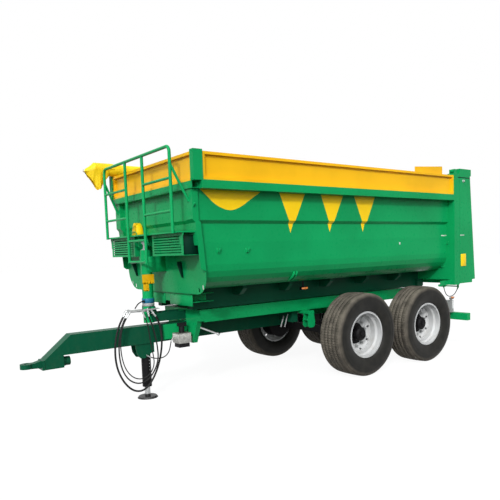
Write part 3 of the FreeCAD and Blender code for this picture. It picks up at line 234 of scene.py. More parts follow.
def paint_film_group():
    """Cloudy tone, orange peel and road dust for any painted metal."""
    value, tint = "NodeSocketFloat", "NodeSocketColor"
    cloud_scale, speck_scale, peel_scale, peel_height = 1.7, 22.0, 90.0, 0.002
    streak_scale = (14.0, 14.0, 0.9)
    group, given, out = new_group(
        "Paint Film",
        [("Colour", tint, (0.1, 0.1, 0.1, 1)), ("Dust Colour", tint, (0.2, 0.2, 0.2, 1)),
         ("Dust", value, 0.3), ("Dust Top", value, 1.2), ("Gloss", value, 0.25),
         ("Peel", value, 0.1)],
        [("Colour", tint), ("Roughness", value), ("Normal", "NodeSocketVector")])
    place = object_place(group)
    cloud = ramp(group, noise(group, cloud_scale, 4.0, place), 0.3, 0.7, 0.90, 1.05)
    streaks = put(group, "Mapping", Vector=place, Scale=streak_scale).outputs[0]
    streak = noise(group, 1.0, 3.0, streaks)
    speck = noise(group, speck_scale, 5.0, place)
    below = math_node(group, "SUBTRACT", given["Dust Top"], height_of(group, place))
    patch = times(group, ramp(group, streak, 0.42, 0.7), ramp(group, speck, 0.3, 0.7))
    low_dust = times(group, ramp(group, below, -0.05, 0.75), plus(group, patch, 0.15))
    mask = times(group, low_dust, given["Dust"], clamp=True)
    tone = shade(group, given["Colour"], cloud)
    rough = plus(group, given["Gloss"], times(group, mask, 0.5))
    rough = plus(group, rough, times(group, ramp(group, speck, 0.2, 0.8), 0.06), clamp=True)
    peel = bump(group, noise(group, peel_scale, 1.0, place), given["Peel"], peel_height)
    wire(group, out, Colour=mix_colour(group, mask, tone, given["Dust Colour"]),
         Roughness=rough, Normal=peel)


# ---- finishes ----
FINISH = {
    "green": "green gloss paint", "chassis": "chassis green paint and painted shade", "yellow": "yellow board paint",
    "flag": "yellow flag film", "white": "wheel white paint", "black": "black paint",
    "grey": "grey paint", "blue": "blue paint", "tyre": "tyre rubber", "hose": "hose rubber",
    "tarp": "tarpaulin", "steel": "zinc steel", "rod": "chromed rod", "cast": "cast alloy",
    "foot": "jack foot", "valve": "valve body", "pale": "pale paint", "label": "label film",
    "dark": "dark green painted shade", "red_lens": "red lens", "amber_lens": "amber lens",
    "clear_lens": "white lens", "floor": "floor white",
}
NODE_FINISH = {
    "green": ["chassis_frame", "rear_bumper", "spring_hangers", "tub_shell", "front_wall",
              "rear_frame", "top_rails", "platform", "railing", "handrail_bends", "ladder",
              "railing_bars", "railing_stays", "tailgate", "front_skirt", "drawbar_gussets",
              "gate_locks", "ram_tube"],
    # The tub's beams, cross bearers and the ram's cradle take this darker green as painted shade
    # under the tub.
    "chassis": ["drawbar", "ram_cradle", "tow_eye", "tub_beams", "cross_bearers"],
    "yellow": ["side_boards", "front_board", "tarp_stop"],
    "black": ["jack_tube", "axle_front", "axle_rear", "leaf_springs", "side_markers"]
             + [f"hub_{wheel}" for wheel in WHEELS],
    "foot": ["jack_foot"],
    "grey": ["light_units"],
    "white": [f"rim_{wheel}" for wheel in WHEELS],
    "tyre": [f"tyre_{wheel}" for wheel in WHEELS],
    "tarp": ["tarp_roll"],
    "steel": ["hose_holder"],
    "valve": ["brake_valve"],
    "rod": [f"ram_stage_{n}" for n in range(1, 6)],
    "hose": ["hose_outer", "hose_inner", "hose_cable", "jack_hose", "lock_hose"],
}


def material(finish):
    return bpy.data.materials[FINISH[finish]]


def principled(finish):
    """Adds a finish's material; gives its tree and its shader."""
    made = bpy.data.materials.new(FINISH[finish])
    made.use_nodes = True
    return made.node_tree, made.node_tree.nodes["Principled BSDF"]


def rgba(tint):
    return (*tint, 1.0)


def film(finish, tint, dust, gloss, dust_top=1.25, peel=0.06, specular=0.14):
    """Painted surface with the shared film group."""
    tree, shader = principled(finish)
    dry = rgba(bpy.context.scene.trailer_paint.dust)
    made = put(tree, "Group", node_tree=bpy.data.node_groups["Paint Film"], Colour=rgba(tint),
               Dust_Colour=dry, Dust=dust, Dust_Top=dust_top, Gloss=gloss, Peel=peel).outputs
    wire(tree, shader, Base_Color=made["Colour"], Roughness=made["Roughness"],
         Normal=made["Normal"], Specular_IOR_Level=specular)


def rubber(finish, dark, dusty, share):
    """Black rubber with dust that clings to the tread, by the mesh's tread attribute."""
    tree, shader = principled(finish)
    tread = put(tree, "Attribute", attribute_name="tread").outputs["Fac"]
    grain = ramp(tree, noise(tree, 9.0, 6.0), 0.3, 0.72)
    fine = noise(tree, 120.0, 3.0)
    mask = times(tree, plus(tree, times(tree, grain, 0.5), 0.5), tread)
    mask = plus(tree, times(tree, mask, share), times(tree, grain, 0.06), clamp=True)
    wire(tree, shader, Base_Color=mix_colour(tree, mask, rgba(dark), rgba(dusty)),
         Roughness=ramp(tree, mask, 0.0, 1.0, 0.48, 0.85), Normal=bump(tree, fine, 0.25, 0.001),
         Specular_IOR_Level=0.15)


def cloth(finish, tint):
    """Coated tarpaulin: a fine weave under a soft sheen, with creases whose hollows are darker as
    painted shade.
    """
    tree, shader = principled(finish)
    place = object_place(tree)
    crease = noise(tree, 5.0, 4.0, place)
    weave = put(tree, "TexWave", wave_type="BANDS", bands_direction="DIAGONAL", Vector=place,
                Scale=160.0, Distortion=0.3).outputs["Fac"]
    height = plus(tree, times(tree, weave, 0.12), crease)
    # The tint is darker where the crease noise is low, in the creases' hollows: painted shade.
    wire(tree, shader, Base_Color=shade(tree, tint, ramp(tree, crease, 0.3, 0.7, 0.82, 1.06)),
         Normal=bump(tree, height, 0.35, 0.012), Roughness=0.42, Specular_IOR_Level=0.2)


def metal(finish, tint, roughness, scale=30.0):
    """Bare metal with a cloudy grain."""
    tree, shader = principled(finish)
    grain = noise(tree, scale, 5.0)
    wire(tree, shader, Base_Color=shade(tree, tint, ramp(tree, grain, 0.3, 0.7, 0.8, 1.05)),
         Roughness=ramp(tree, grain, 0.2, 0.8, roughness, roughness + 0.18), Metallic=1.0)


def by_height(finish, usual, other, share_at, metallic, scale, darkest):
    """One tint that gives way to another where share_at says so, both with a fine grain."""
    tree, shader = principled(finish)
    place = object_place(tree)
    share = share_at(tree, height_of(tree, place))
    grain = ramp(tree, noise(tree, scale, 4.0, place), 0.3, 0.7, darkest, 1.06)
    tone = shade(tree, mix_colour(tree, share, rgba(usual), rgba(other)), grain)
    wire(tree, shader, Base_Color=tone, Metallic=times(tree, share, metallic))
    return tree, shader, grain


def two_tone(finish, low_tint, high_tint, low, high):
    """Dark paint below one height and bare metal above it."""
    def share_at(tree, height):
        return ramp(tree, height, low, high)

    tree, shader, grain = by_height(finish, low_tint, high_tint, share_at, 0.9, 40.0, 0.8)
    wire(tree, shader, Roughness=ramp(tree, grain, 0.8, 1.06, 0.38, 0.5))


def banded(finish, inner, outer, low, high, edge=0.005):
    """One tint between two heights and another beyond them."""
    def share_at(tree, height):
        return times(tree, ramp(tree, height, low, low + edge),
                     ramp(tree, height, high, high + edge, 1.0, 0.0))

    tree, shader, _ = by_height(finish, outer, inner, share_at, 0.5, 45.0, 0.75)
    wire(tree, shader, Roughness=0.45, Specular_IOR_Level=0.15)


def lens(finish, tint):
    """Moulded lamp lens with fine prisms."""
    tree, shader = principled(finish)
    prism = put(tree, "TexChecker", Vector=object_place(tree), Scale=180.0).outputs["Fac"]
    darker = [value * 0.8 for value in tint]
    wire(tree, shader, Base_Color=mix_colour(tree, prism, rgba(darker), rgba(tint)),
         Normal=bump(tree, prism, 0.4, 0.001), Roughness=0.12, Coat_Weight=0.6)


def finish_materials():
    """Makes every finish. A film's first numbers are its dust and its roughness."""
    paint = bpy.context.scene.trailer_paint
    paint_film_group()
    film("green", paint.green, 0.0, 0.26, peel=0.04, specular=0.08)
    film("chassis", paint.chassis, 0.04, 0.34, specular=0.07)
    film("yellow", paint.yellow, 0.0, 0.30)
    film("flag", paint.flag, 0.0, 0.22, peel=0.0)
    film("white", paint.white, 0.30, 0.28, dust_top=1.0, specular=0.4)
    film("black", paint.black, 0.02, 0.38, specular=0.07)
    film("grey", (0.30, 0.31, 0.31), 0.2, 0.4)
    film("pale", (0.62, 0.63, 0.60), 0.1, 0.35)
    film("blue", (0.012, 0.12, 0.22), 0.1, 0.3)
    film("label", (0.93, 0.56, 0.006), 0.0, 0.35, peel=0.0)
    # This dark green is painted shade, on the platform's plates and under the tailgate's cap.
    film("dark", (0.002, 0.030, 0.017), 0.02, 0.40, specular=0.07)
    rubber("tyre", (0.009, 0.009, 0.008), (0.135, 0.119, 0.096), 0.90)
    rubber("hose", (0.012, 0.012, 0.012), (0.09, 0.085, 0.075), 0.35)
    cloth("tarp", paint.tarp)
    metal("steel", (0.55, 0.56, 0.56), 0.30)
    metal("rod", (0.40, 0.41, 0.42), 0.18)
    metal("cast", (0.50, 0.50, 0.48), 0.45, 45.0)
    two_tone("foot", paint.black, (0.45, 0.46, 0.46), 0.042, 0.046)
    banded("valve", (0.40, 0.40, 0.37), paint.black, 0.612, 0.732)
    lens("red_lens", (0.45, 0.01, 0.01))
    lens("amber_lens", (0.85, 0.24, 0.01))
    lens("clear_lens", (0.75, 0.76, 0.76))


class TRAILER_OT_paint(bpy.types.Operator):
    """Gives every node of the frame its finish"""
    bl_idname = "trailer.paint"
    bl_label = "Paint"

    def execute(self, context):
        finish_materials()
        left = set(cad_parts)
        for finish, nodes in NODE_FINISH.items():
            for node in nodes:
                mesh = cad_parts[node].data
                mesh.materials.clear()
                mesh.materials.append(material(finish))
                left.discard(node)
        if left:
            raise RuntimeError(f"nodes with no finish: {sorted(left)}")
        return {"FINISHED"}


# ---- pieces ----
def add_object(name, data):
    made = bpy.data.objects.new(name, data)
    bpy.context.scene.collection.objects.link(made)
    return made


def new_piece(name, bm, finish, body, smooth=True):
    """Turns a bmesh into an object that rides on a body."""
    bmesh.ops.recalc_face_normals(bm, faces=bm.faces)
    mesh = bpy.data.meshes.new(name)
    bm.to_mesh(mesh)
    bm.free()
    mesh.shade_smooth() if smooth else mesh.shade_flat()
    mesh.materials.append(material(finish))
    piece = add_object(name, mesh)
    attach(piece, body)
    return piece


def spun(bm, profile, centre, axis, steps):
    """Turns (along, radius) points round an axis through centre and closes the ends."""
    axis = Vector(axis).normalized()
    side = axis.orthogonal().normalized()
    start = [bm.verts.new(Vector(centre) + axis * a + side * r) for a, r in profile]
    edges = [bm.edges.new(pair) for pair in zip(start, start[1:])]
    bmesh.ops.spin(bm, geom=start + edges, cent=centre, axis=axis, angle=math.tau, steps=steps,
                   use_merge=True)
    bmesh.ops.remove_doubles(bm, verts=bm.verts, dist=0.00001)


def hex_nut(bm, centre, across_flats, height, axis, stud=0.0):
    """Hexagon nut on a washer, with the stud's end standing out of it."""
    radius = across_flats / math.sqrt(3)
    turn = Vector((0, 0, 1)).rotation_difference(Vector(axis)).to_matrix().to_4x4()
    place = Matrix.Translation(Vector(centre)) @ turn
    rows = [(radius * 1.25, radius * 1.25, 0.0, 0.15, 12), (radius, radius * 0.92, 0.15, 1.0, 6)]
    if stud:
        rows.append((radius * 0.5, radius * 0.44, 1.0, 1.0 + stud / height, 10))
    for low_r, high_r, low, high, sides in rows:
        shift = Matrix.Translation((0, 0, (low + high) / 2 * height))
        bmesh.ops.create_cone(bm, cap_ends=True, segments=sides, radius1=low_r, radius2=high_r,
                              depth=(high - low) * height, matrix=place @ shift)


def verts_of(made):
    return [item for item in made["geom"] if isinstance(item, bmesh.types.BMVert)]


def ease_edges(bm, verts, bevel, segments):
    """Bevels every edge at the given vertices."""
    edges = list({edge for vert in verts for edge in vert.link_edges})
    bmesh.ops.bevel(bm, geom=edges, offset=bevel, offset_type="OFFSET", segments=segments,
                    profile=0.5, affect="EDGES", material=-1)


def block(bm, x, y, z, bevel=0.003, segments=2):
    """Box between pairs of places, with rounded edges."""
    low, high = spot((x[0], y[0], z[0])), spot((x[1], y[1], z[1]))
    size = high - low
    shape = Matrix.Translation((low + high) / 2) @ Matrix.Diagonal((*(abs(c) for c in size), 1.0))
    made = bmesh.ops.create_cube(bm, size=1.0, matrix=shape)
    ease_edges(bm, made["verts"], bevel, segments)


def plate(bm, outline, push, bevel=0.0015):
    """Flat piece from its outline, given thickness by push, with eased edges."""
    face = bm.faces.new([bm.verts.new(spot(point)) for point in outline])
    verts = verts_of(bmesh.ops.extrude_face_region(bm, geom=[face]))
    bmesh.ops.translate(bm, verts=verts, vec=push)
    ease_edges(bm, verts + list(face.verts), bevel, 1)


def pin(bm, start, end, radius, steps=16):
    """Round bar with eased ends."""
    a, b = spot(start), spot(end)
    reach, ease = (b - a).length, radius * 0.2
    profile = [(0, 0), (0, radius - ease), (ease, radius), (reach - ease, radius),
               (reach, radius - ease), (reach, 0)]
    spun(bm, profile, a, b - a, steps)


def sheet(columns, rows, place):
    """Grid whose points place(across, down) puts where they go, both from 0 to 1."""
    bm = bmesh.new()
    bmesh.ops.create_grid(bm, x_segments=columns, y_segments=rows, size=0.5)
    for vert in bm.verts:
        vert.co = place(vert.co.x + 0.5, vert.co.y + 0.5)
    return bm


def round_curve(name, points, radius, rings, steps):
    """Round bar or hose on a smooth route that its points pull along."""
    curve = bpy.data.curves.new(name, "CURVE")
    curve.dimensions = "3D"
    curve.bevel_depth = radius
    curve.bevel_resolution = rings
    curve.resolution_u = steps
    curve.use_fill_caps = True
    spline = curve.splines.new("NURBS")
    spline.points.add(len(points) - 1)
    for point, place in zip(spline.points, points):
        point.co = (*spot(place), 1.0)
    spline.order_u = 3
    spline.use_endpoint_u = True
    return curve


def curve_mesh(curve):
    """Mesh of a curve, which is then thrown away."""
    probe = bpy.data.objects.new("probe", curve)
    mesh = bpy.data.meshes.new_from_object(probe)
    bpy.data.objects.remove(probe)
    bpy.data.curves.remove(curve)
    return mesh


def bent_rod(bm, points, radius):
    """Stiff round rod along a smooth route."""
    mesh = curve_mesh(round_curve("rod", points, radius, 2, 5))
    bm.from_mesh(mesh)
    bpy.data.meshes.remove(mesh)


# ---- tyres ----
# Share of the half width, with the height over the bead's seat or the depth below the tread.
WALL = [(0.715, 0.0015), (0.745, 0.012), (0.775, 0.016), (0.80, 0.024), (0.84, 0.030),
        (0.905, 0.055), (0.962, 0.088), (0.992, 0.118), (1.0, 0.137), (0.998, 0.150),
        (0.985, 0.168), (0.988, 0.171), (0.968, 0.190)]
SHOULDER = [(0.930, 0.030), (0.885, 0.019), (0.875, 0.021), (0.845, 0.013), (0.80, 0.0055)]
GROOVES, GROOVE_FLARE, GROOVE_TAPER = (0.475, 0.165), 0.0015, 0.001
RIB_HALF, RIB_DROP, TREAD_CROWN, SIPE_WIDTH = 0.8, 0.0045, 0.004, 0.0024
RIM_LIP = 0.0128
# Where the dusty tread starts below the tyre's radius, and how far it takes to be full.
DUST_START, DUST_FADE = 0.05, 0.03


def tyre_profile(half, radius, seat, sizes):
    """(y, radius) points from the outer bead, over the tread, to the inner bead."""
    depth, width = sizes.groove_depth, sizes.groove_width
    outer = [(half * share, seat + up) for share, up in WALL]
    outer += [(half * share, radius - down) for share, down in SHOULDER]
    for centre in GROOVES:
        y = half * centre
        top = radius - TREAD_CROWN * centre
        outer += [(y + width / 2 + GROOVE_FLARE, top),
                  (y + width / 2 - GROOVE_TAPER, radius - depth),
                  (y - width / 2 + GROOVE_TAPER, radius - depth),
                  (y - width / 2 - GROOVE_FLARE, top)]
    return outer + [(-py, pr) for py, pr in reversed(outer)]


def angle_of(vert):
    return math.atan2(vert.co.x, vert.co.z)


def on_rib(face, half, radius):
    centre = face.calc_center_median()
    high = math.hypot(centre.x, centre.z) > radius - RIB_DROP
    return high and abs(centre.y) < half * RIB_HALF


def tyre_mesh(node, sizes):
    """One pitch of the tread with its cut, turned round the axle, closed over the beads."""
    _, half, radius = half_sizes(node)
    seat = half_sizes(node.replace("tyre", "rim"))[2] - RIM_LIP
    axis = dict(cent=(0, 0, 0), axis=(0, 1, 0))
    pitch = math.tau / sizes.pitches
    cut = SIPE_WIDTH / radius
    bm = bmesh.new()
    line = [bm.verts.new((0, py, pr)) for py, pr in tyre_profile(half, radius, seat, sizes)]
    edges = [bm.edges.new(pair) for pair in zip(line, line[1:])]
    narrow = bmesh.ops.spin(bm, geom=line + edges, steps=1, angle=cut, **axis)
    ribs = [face for face in bm.faces if on_rib(face, half, radius)]
    bmesh.ops.spin(bm, geom=narrow["geom_last"], steps=1, angle=(pitch - cut) / 2, **axis)
    ends = [edge for edge in bm.edges if len(edge.link_faces) == 1
            and all(angle_of(vert) > cut * 2 for vert in edge.verts)]
    bmesh.ops.spin(bm, geom=ends + list({v for e in ends for v in e.verts}), steps=1,
                   angle=(pitch - cut) / 2, **axis)
    sunk = verts_of(bmesh.ops.extrude_face_region(bm, geom=ribs))
    bmesh.ops.delete(bm, geom=ribs, context="FACES_ONLY")
    for vert in sunk:
        share = 1 - sizes.sipe_depth / math.hypot(vert.co.x, vert.co.z)
        vert.co.x *= share
        vert.co.z *= share
    bmesh.ops.spin(bm, geom=bm.verts[:] + bm.edges[:] + bm.faces[:], steps=sizes.pitches - 1,
                   angle=pitch * (sizes.pitches - 1), use_duplicate=True, **axis)
    bmesh.ops.remove_doubles(bm, verts=bm.verts, dist=0.0002)
    rims = [edge for edge in bm.edges if len(edge.link_faces) == 1]
    bmesh.ops.bridge_loops(bm, edges=rims)
    tread = bm.verts.layers.float.new("tread")
    for vert in bm.verts:
        over = math.hypot(vert.co.x, vert.co.z) - radius + DUST_START
        vert[tread] = min(max(over / DUST_FADE, 0.0), 1.0)
    bmesh.ops.translate(bm, verts=bm.verts, vec=middle(node))
    return bm


class TRAILER_OT_tyres(bpy.types.Operator):
    """Ribbed tyres with cuts across the ribs"""
    bl_idname = "trailer.tyres"
    bl_label = "Tyres"

    def execute(self, context):
        for wheel in WHEELS:
            bm = tyre_mesh(f"tyre_{wheel}", context.scene.tyre_sizes)
            piece = new_piece(f"tread_{wheel}", bm, "tyre", f"wheel_{wheel}")
            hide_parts(f"tyre_{wheel}")
        return {"FINISHED"}


# ---- hoses ----
def upright(y, *points):
    """Route in one upright plane along the trailer."""
    return [(x, y, z) for x, z in points]


HOSE_ROUTES = {
    "outer_hose": ("hose_outer", "chassis", 0.011, upright(
        0.118, (3.462, 1.012), (3.514, 0.938), (3.566, 0.820), (3.600, 0.659), (3.600, 0.485),
        (3.563, 0.339), (3.489, 0.208), (3.395, 0.126), (3.288, 0.116), (3.190, 0.195),
        (3.108, 0.336), (3.056, 0.493), (3.032, 0.655), (3.042, 0.802), (3.078, 0.920),
        (3.124, 0.985))),
    "inner_hose": ("hose_inner", "chassis", 0.008, upright(
        0.140, (3.452, 1.000), (3.508, 0.911), (3.550, 0.777), (3.566, 0.622), (3.558, 0.482),
        (3.524, 0.355), (3.452, 0.254), (3.342, 0.205), (3.230, 0.238), (3.142, 0.344),
        (3.100, 0.460), (3.104, 0.590), (3.122, 0.715), (3.152, 0.840), (3.188, 0.940),
        (3.197, 1.000))),
    "light_cable": ("hose_cable", "chassis", 0.006, upright(
        0.158, (3.440, 1.000), (3.498, 0.918), (3.538, 0.806), (3.552, 0.680), (3.545, 0.550),
        (3.518, 0.430), (3.463, 0.332), (3.384, 0.272), (3.290, 0.262), (3.206, 0.314),
        (3.158, 0.412), (3.176, 0.555), (3.198, 0.680), (3.208, 0.800), (3.230, 0.910),
        (3.262, 0.990))),
    "jack_line": ("jack_hose", "chassis", 0.006, [
        (3.203, 0.076, 0.500), (3.172, 0.084, 0.478), (3.110, 0.092, 0.456),
        (3.040, 0.095, 0.450), (2.980, 0.104, 0.472), (2.946, 0.118, 0.525),
        (2.937, 0.131, 0.585), (2.931, 0.142, 0.636), (2.913, 0.150, 0.670)]),
    "lock_line": ("lock_hose", "tub", 0.006, [
        (-1.545, 0.970, 0.966), (-1.500, 0.968, 0.905), (-1.420, 0.965, 0.868),
        (-1.330, 0.964, 0.866), (-1.262, 0.966, 0.903), (-1.220, 0.968, 0.962),
        (-1.200, 0.970, 1.008)]),
}


def curve_length(piece):
    """Length of a hose's middle line."""
    bare = piece.data.copy()
    bare.bevel_depth = 0.0
    mesh = curve_mesh(bare)
    total = sum((mesh.vertices[a].co - mesh.vertices[b].co).length for a, b in
                (edge.vertices for edge in mesh.edges))
    bpy.data.meshes.remove(mesh)
    return total


class TRAILER_OT_hoses(bpy.types.Operator):
    """Hydraulic and brake hoses along their routes"""
    bl_idname = "trailer.hoses"
    bl_label = "Hoses"

    def execute(self, context):
        for name, (node, body, radius, points) in HOSE_ROUTES.items():
            piece = add_object(name, round_curve(name, points, radius, 4, 8))
            piece.data.materials.append(material("hose"))
            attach(piece, body)
            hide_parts(node)
            start = (along(points[0][0]), points[0][1], points[0][2])
            round(curve_length(piece), 3)
        return {"FINISHED"}


# ---- wheel fittings ----
NUT_HEIGHT, STUD_REACH = 0.026, 0.014
# Count, circle, size and height of the bolts on the hub's cap and on its drum.
CAP_BOLTS = (8, 0.051, 0.014, 0.008)
DRUM_BOLTS, DRUM_FACE = (10, 0.100, 0.014, 0.010), 0.024
# Profiles as (outwards, radius), and the stem's root from the middle of the disc.
CAP, CAP_SUNK = [(0.0, 0.0), (0.0, 0.034), (0.012, 0.032), (0.016, 0.024), (0.017, 0.0)], 0.0005
STEM = [(0.0, 0.0), (0.0, 0.009), (0.006, 0.009), (0.010, 0.0045), (0.050, 0.0045),
        (0.052, 0.0055), (0.066, 0.0055), (0.068, 0.0)]
STEM_ROOT, STEM_LEAN = (0.205, 0.004, 0.13), (-0.35, 0.9, -0.2)


def nut_ring(bm, centre, side, count, circle, across_flats, height, stud=0.0, first=0.0):
    """Nuts on a circle round an axle, facing out of the wheel."""
    x, y, z = centre
    for n in range(count):
        turn = math.tau * (n + first) / count
        place = (x + circle * math.cos(turn), y, z + circle * math.sin(turn))
        hex_nut(bm, place, across_flats, height, (0, side, 0), stud)


class TRAILER_OT_wheel_fittings(bpy.types.Operator):
    """Wheel nuts, valve stems and hub cap bolts"""
    bl_idname = "trailer.wheel_fittings"
    bl_label = "Wheel fittings"

    def execute(self, context):
        sizes = context.scene.wheel_fittings
        for wheel in WHEELS:
            side, body = SIDES[wheel.split("_")[1]], f"wheel_{wheel}"
            x, _, z = middle(f"rim_{wheel}")
            disc = outer_face(f"rim_{wheel}", side) - side * sizes.disc_depth
            tip = outer_face(f"hub_{wheel}", side)
            nuts, bolts = bmesh.new(), bmesh.new()
            nut_ring(nuts, (x, disc, z), side, sizes.nuts, sizes.nut_circle, sizes.nut_across,
                     NUT_HEIGHT, STUD_REACH, 0.5)
            new_piece(f"wheel_nuts_{wheel}", nuts, "grey", body, False)
            spun(bolts, [(side * out, radius) for out, radius in CAP],
                 (x, tip - side * CAP_SUNK, z), (0, 1, 0), 18)
            nut_ring(bolts, (x, tip, z), side, *CAP_BOLTS)
            nut_ring(bolts, (x, disc + side * DRUM_FACE, z), side, *DRUM_BOLTS)
            new_piece(f"hub_bolts_{wheel}", bolts, "black", body, False)
            self.stem(wheel, side, x, disc, z)
        return {"FINISHED"}

    def stem(self, wheel, side, x, disc, z):
        """Valve stem that leans out of the rim's well."""
        bm = bmesh.new()
        ahead, out, up = STEM_ROOT
        root = Vector((x + ahead, disc + side * out, z + up))
        lean = Vector((STEM_LEAN[0], side * STEM_LEAN[1], STEM_LEAN[2])).normalized()
        spun(bm, STEM, root, lean, 12)
        new_piece(f"tyre_valve_{wheel}", bm, "steel", f"wheel_{wheel}")


# ---- painted motifs ----
# Height and y of the tub's side; it is creased at the first three heights.
HULL_FACE = [(1.985, 0.970), (1.950, 0.938), (1.757, 0.952), (1.600, 0.952), (1.500, 0.949),
             (1.405, 0.9226), (1.363, 0.895), (1.333, 0.869), (1.303, 0.830), (1.275, 0.769)]
FILM_PROUD = 0.0012
MOTIF_TOP = 2.2945
BOWL = [(2.950, MOTIF_TOP), (2.872, 2.229), (2.791, 2.160), (2.683, 2.106), (2.570, 2.091),
        (2.452, 2.130), (2.330, 2.204), (2.184, MOTIF_TOP)]
# Ends of the top edge, then the lower points.
PENNANTS = [(1.915, 1.531, [(1.689, 1.982), (1.748, 1.844), (1.781, 1.982)]),
            (1.274, 0.901, [(1.058, 1.982), (1.117, 1.852), (1.150, 1.982)]),
            (0.699, 0.313, [(0.467, 1.982), (0.526, 1.852), (0.559, 1.982)])]


def hull_y(z):
    """Outer face of the tub's side at a height."""
    for (high, near), (low, far) in zip(HULL_FACE, HULL_FACE[1:]):
        if z >= low:
            return near + (far - near) * (high - min(z, high)) / (high - low)
    return HULL_FACE[-1][1]


def motif(bm, outline, side):
    """Thin film on the tub's side that follows its crease."""
    part = bmesh.new()
    part.faces.new([part.verts.new((along(px), 0, pz)) for px, pz in outline])
    for level, _ in HULL_FACE[:3]:
        geom = part.verts[:] + part.edges[:] + part.faces[:]
        bmesh.ops.bisect_plane(part, geom=geom, plane_co=(0, 0, level), plane_no=(0, 0, 1))
    for vert in part.verts:
        vert.co.y = side * (hull_y(vert.co.z) + FILM_PROUD)
    mesh = bpy.data.meshes.new("part")
    part.to_mesh(mesh)
    part.free()
    bm.from_mesh(mesh)
    bpy.data.meshes.remove(mesh)


def smooth_outline(points, steps=6):
    """Points of a smooth curve through the given ones."""
    ends = [points[0]] + list(points) + [points[-1]]
    curve = []
    for a, b, c, d in zip(ends, ends[1:], ends[2:], ends[3:]):
        for n in range(steps):
            t = n / steps
            curve.append(tuple(0.5 * (2 * q + (r - p) * t + (2 * p - 5 * q + 4 * r - u) * t * t
                                      + (3 * q - p - 3 * r + u) * t ** 3)
                               for p, q, r, u in zip(a, b, c, d)))
    return curve + [points[-1]]


def point_out(piece, side):
    """Turns a thin film's faces away from the middle plane."""
    bm = bmesh.new()
    bm.from_mesh(piece.data)
    wrong = [face for face in bm.faces if face.normal.y * side < 0]
    bmesh.ops.reverse_faces(bm, faces=wrong)
    bm.to_mesh(piece.data)
    bm.free()


class TRAILER_OT_motifs(bpy.types.Operator):
    """Yellow bowl shape and three pennants on both sides of the tub"""
    bl_idname = "trailer.motifs"
    bl_label = "Painted motifs"

    def execute(self, context):
        for name, side in SIDES.items():
            bm = bmesh.new()
            motif(bm, smooth_outline(BOWL), side)
            for start, end, low in PENNANTS:
                motif(bm, [(start, MOTIF_TOP), (end, MOTIF_TOP)] + low, side)
            made = new_piece(f"side_motifs_{name}", bm, "flag", "tub", False)
            point_out(made, side)
        return {"FINISHED"}


# ---- tarpaulin ----
BOARD_TOP = 2.660
ROLL_Y = -1.000
ROLL_ENDS = (-1.238, 3.306)
CLOTH_GAP = 0.004
# The drape: its ends along the trailer, its top and half width over the roll, where the roll ends
# and the length of the pole beyond it, and the lower edge, which comes to one low corner.
DRAPE_START, DRAPE_REACH = 3.062, 0.376
RIDGE_TOP, RIDGE_HALF = 2.826, 0.082
NOSE_X, NOSE_REACH = 3.310, 0.128
OVER_SHARE, HANG_SHARE = 0.34, 0.66
POLE = [(0.0, 0.0), (0.0, 0.017), (0.130, 0.017), (0.132, 0.020), (0.150, 0.020), (0.153, 0.016),
        (0.153, 0.0)]
POLE_START, POLE_WAY = (3.287, ROLL_Y, 2.742), (1, 0, -0.18)
HEM = [(3.060, 2.728), (3.130, 2.660), (3.189, 2.594), (3.236, 2.500), (3.262, 2.488),
       (3.300, 2.540), (3.360, 2.622), (3.438, 2.716)]


def wave(x, seed):
    """Slow unevenness between -1 and 1, the same each run."""
    return (math.sin(x * 2.1 + seed) + 0.6 * math.sin(x * 5.3 + seed * 2.7)
            + 0.35 * math.sin(x * 11.9 + seed * 4.1)) / 1.95


def rolled_cloth(settings):
    """Spiral sheet round the roll's middle line, a little slack and creased."""
    low, high = ROLL_ENDS
    centre_z = BOARD_TOP + settings.roll_radius
    outer = settings.roll_radius - CLOTH_GAP

    def place(end_share, share):
        x = low + (high - low) * end_share
        turn = math.tau * settings.roll_turns * share
        slack = 0.0035 * wave(x * 1.7 + turn * 0.3, 1.3) + 0.0022 * math.sin(turn * 3 + x * 4.0)
        radius = settings.core_radius + (outer - settings.core_radius) * share
        radius += (slack - 0.0035) * share
        sag = 0.0024 * share * math.sin(x * 2.4) ** 2
        return (along(x), ROLL_Y + radius * math.sin(turn),
                centre_z - sag + radius * math.cos(turn))

    return sheet(90, int(settings.roll_turns * 30), place)


def hem_height(x):
    """Lower edge of the drape."""
    for (xa, za), (xb, zb) in zip(HEM, HEM[1:]):
        if x <= xb:
            return za + (zb - za) * max(0.0, x - xa) / (xb - xa)
    return HEM[-1][1]


def ridge(x):
    """Height of the drape's top, and half its width there."""
    if x < NOSE_X:
        return RIDGE_TOP, RIDGE_HALF
    share = (x - NOSE_X) / NOSE_REACH
    return RIDGE_TOP - 0.098 * share ** 0.8, RIDGE_HALF - 0.060 * share


def drape():
    """Corner of the tarpaulin that hangs over the pole's end in soft folds."""
    def place(end_share, down_share):
        x = DRAPE_START + DRAPE_REACH * end_share
        top, half = ridge(x)
        s = 2 * down_share - 1
        side = 1 if s > 0 else -1
        turn = min(abs(s) / OVER_SHARE, 1.0) * math.pi / 2
        over_z = top - half * (1 - math.cos(turn))
        down = max(0.0, (abs(s) - OVER_SHARE) / HANG_SHARE)
        z = over_z + (min(hem_height(x), over_z - 0.004) - over_z) * down
        fold = 0.008 * down * math.sin(x * 62 + side * 0.9) + 0.003 * down * math.sin(x * 140)
        y = side * (half * math.sin(turn) * (1 - 0.55 * down) + fold)
        return (along(x), y + ROLL_Y, z)

    return sheet(46, 36, place)


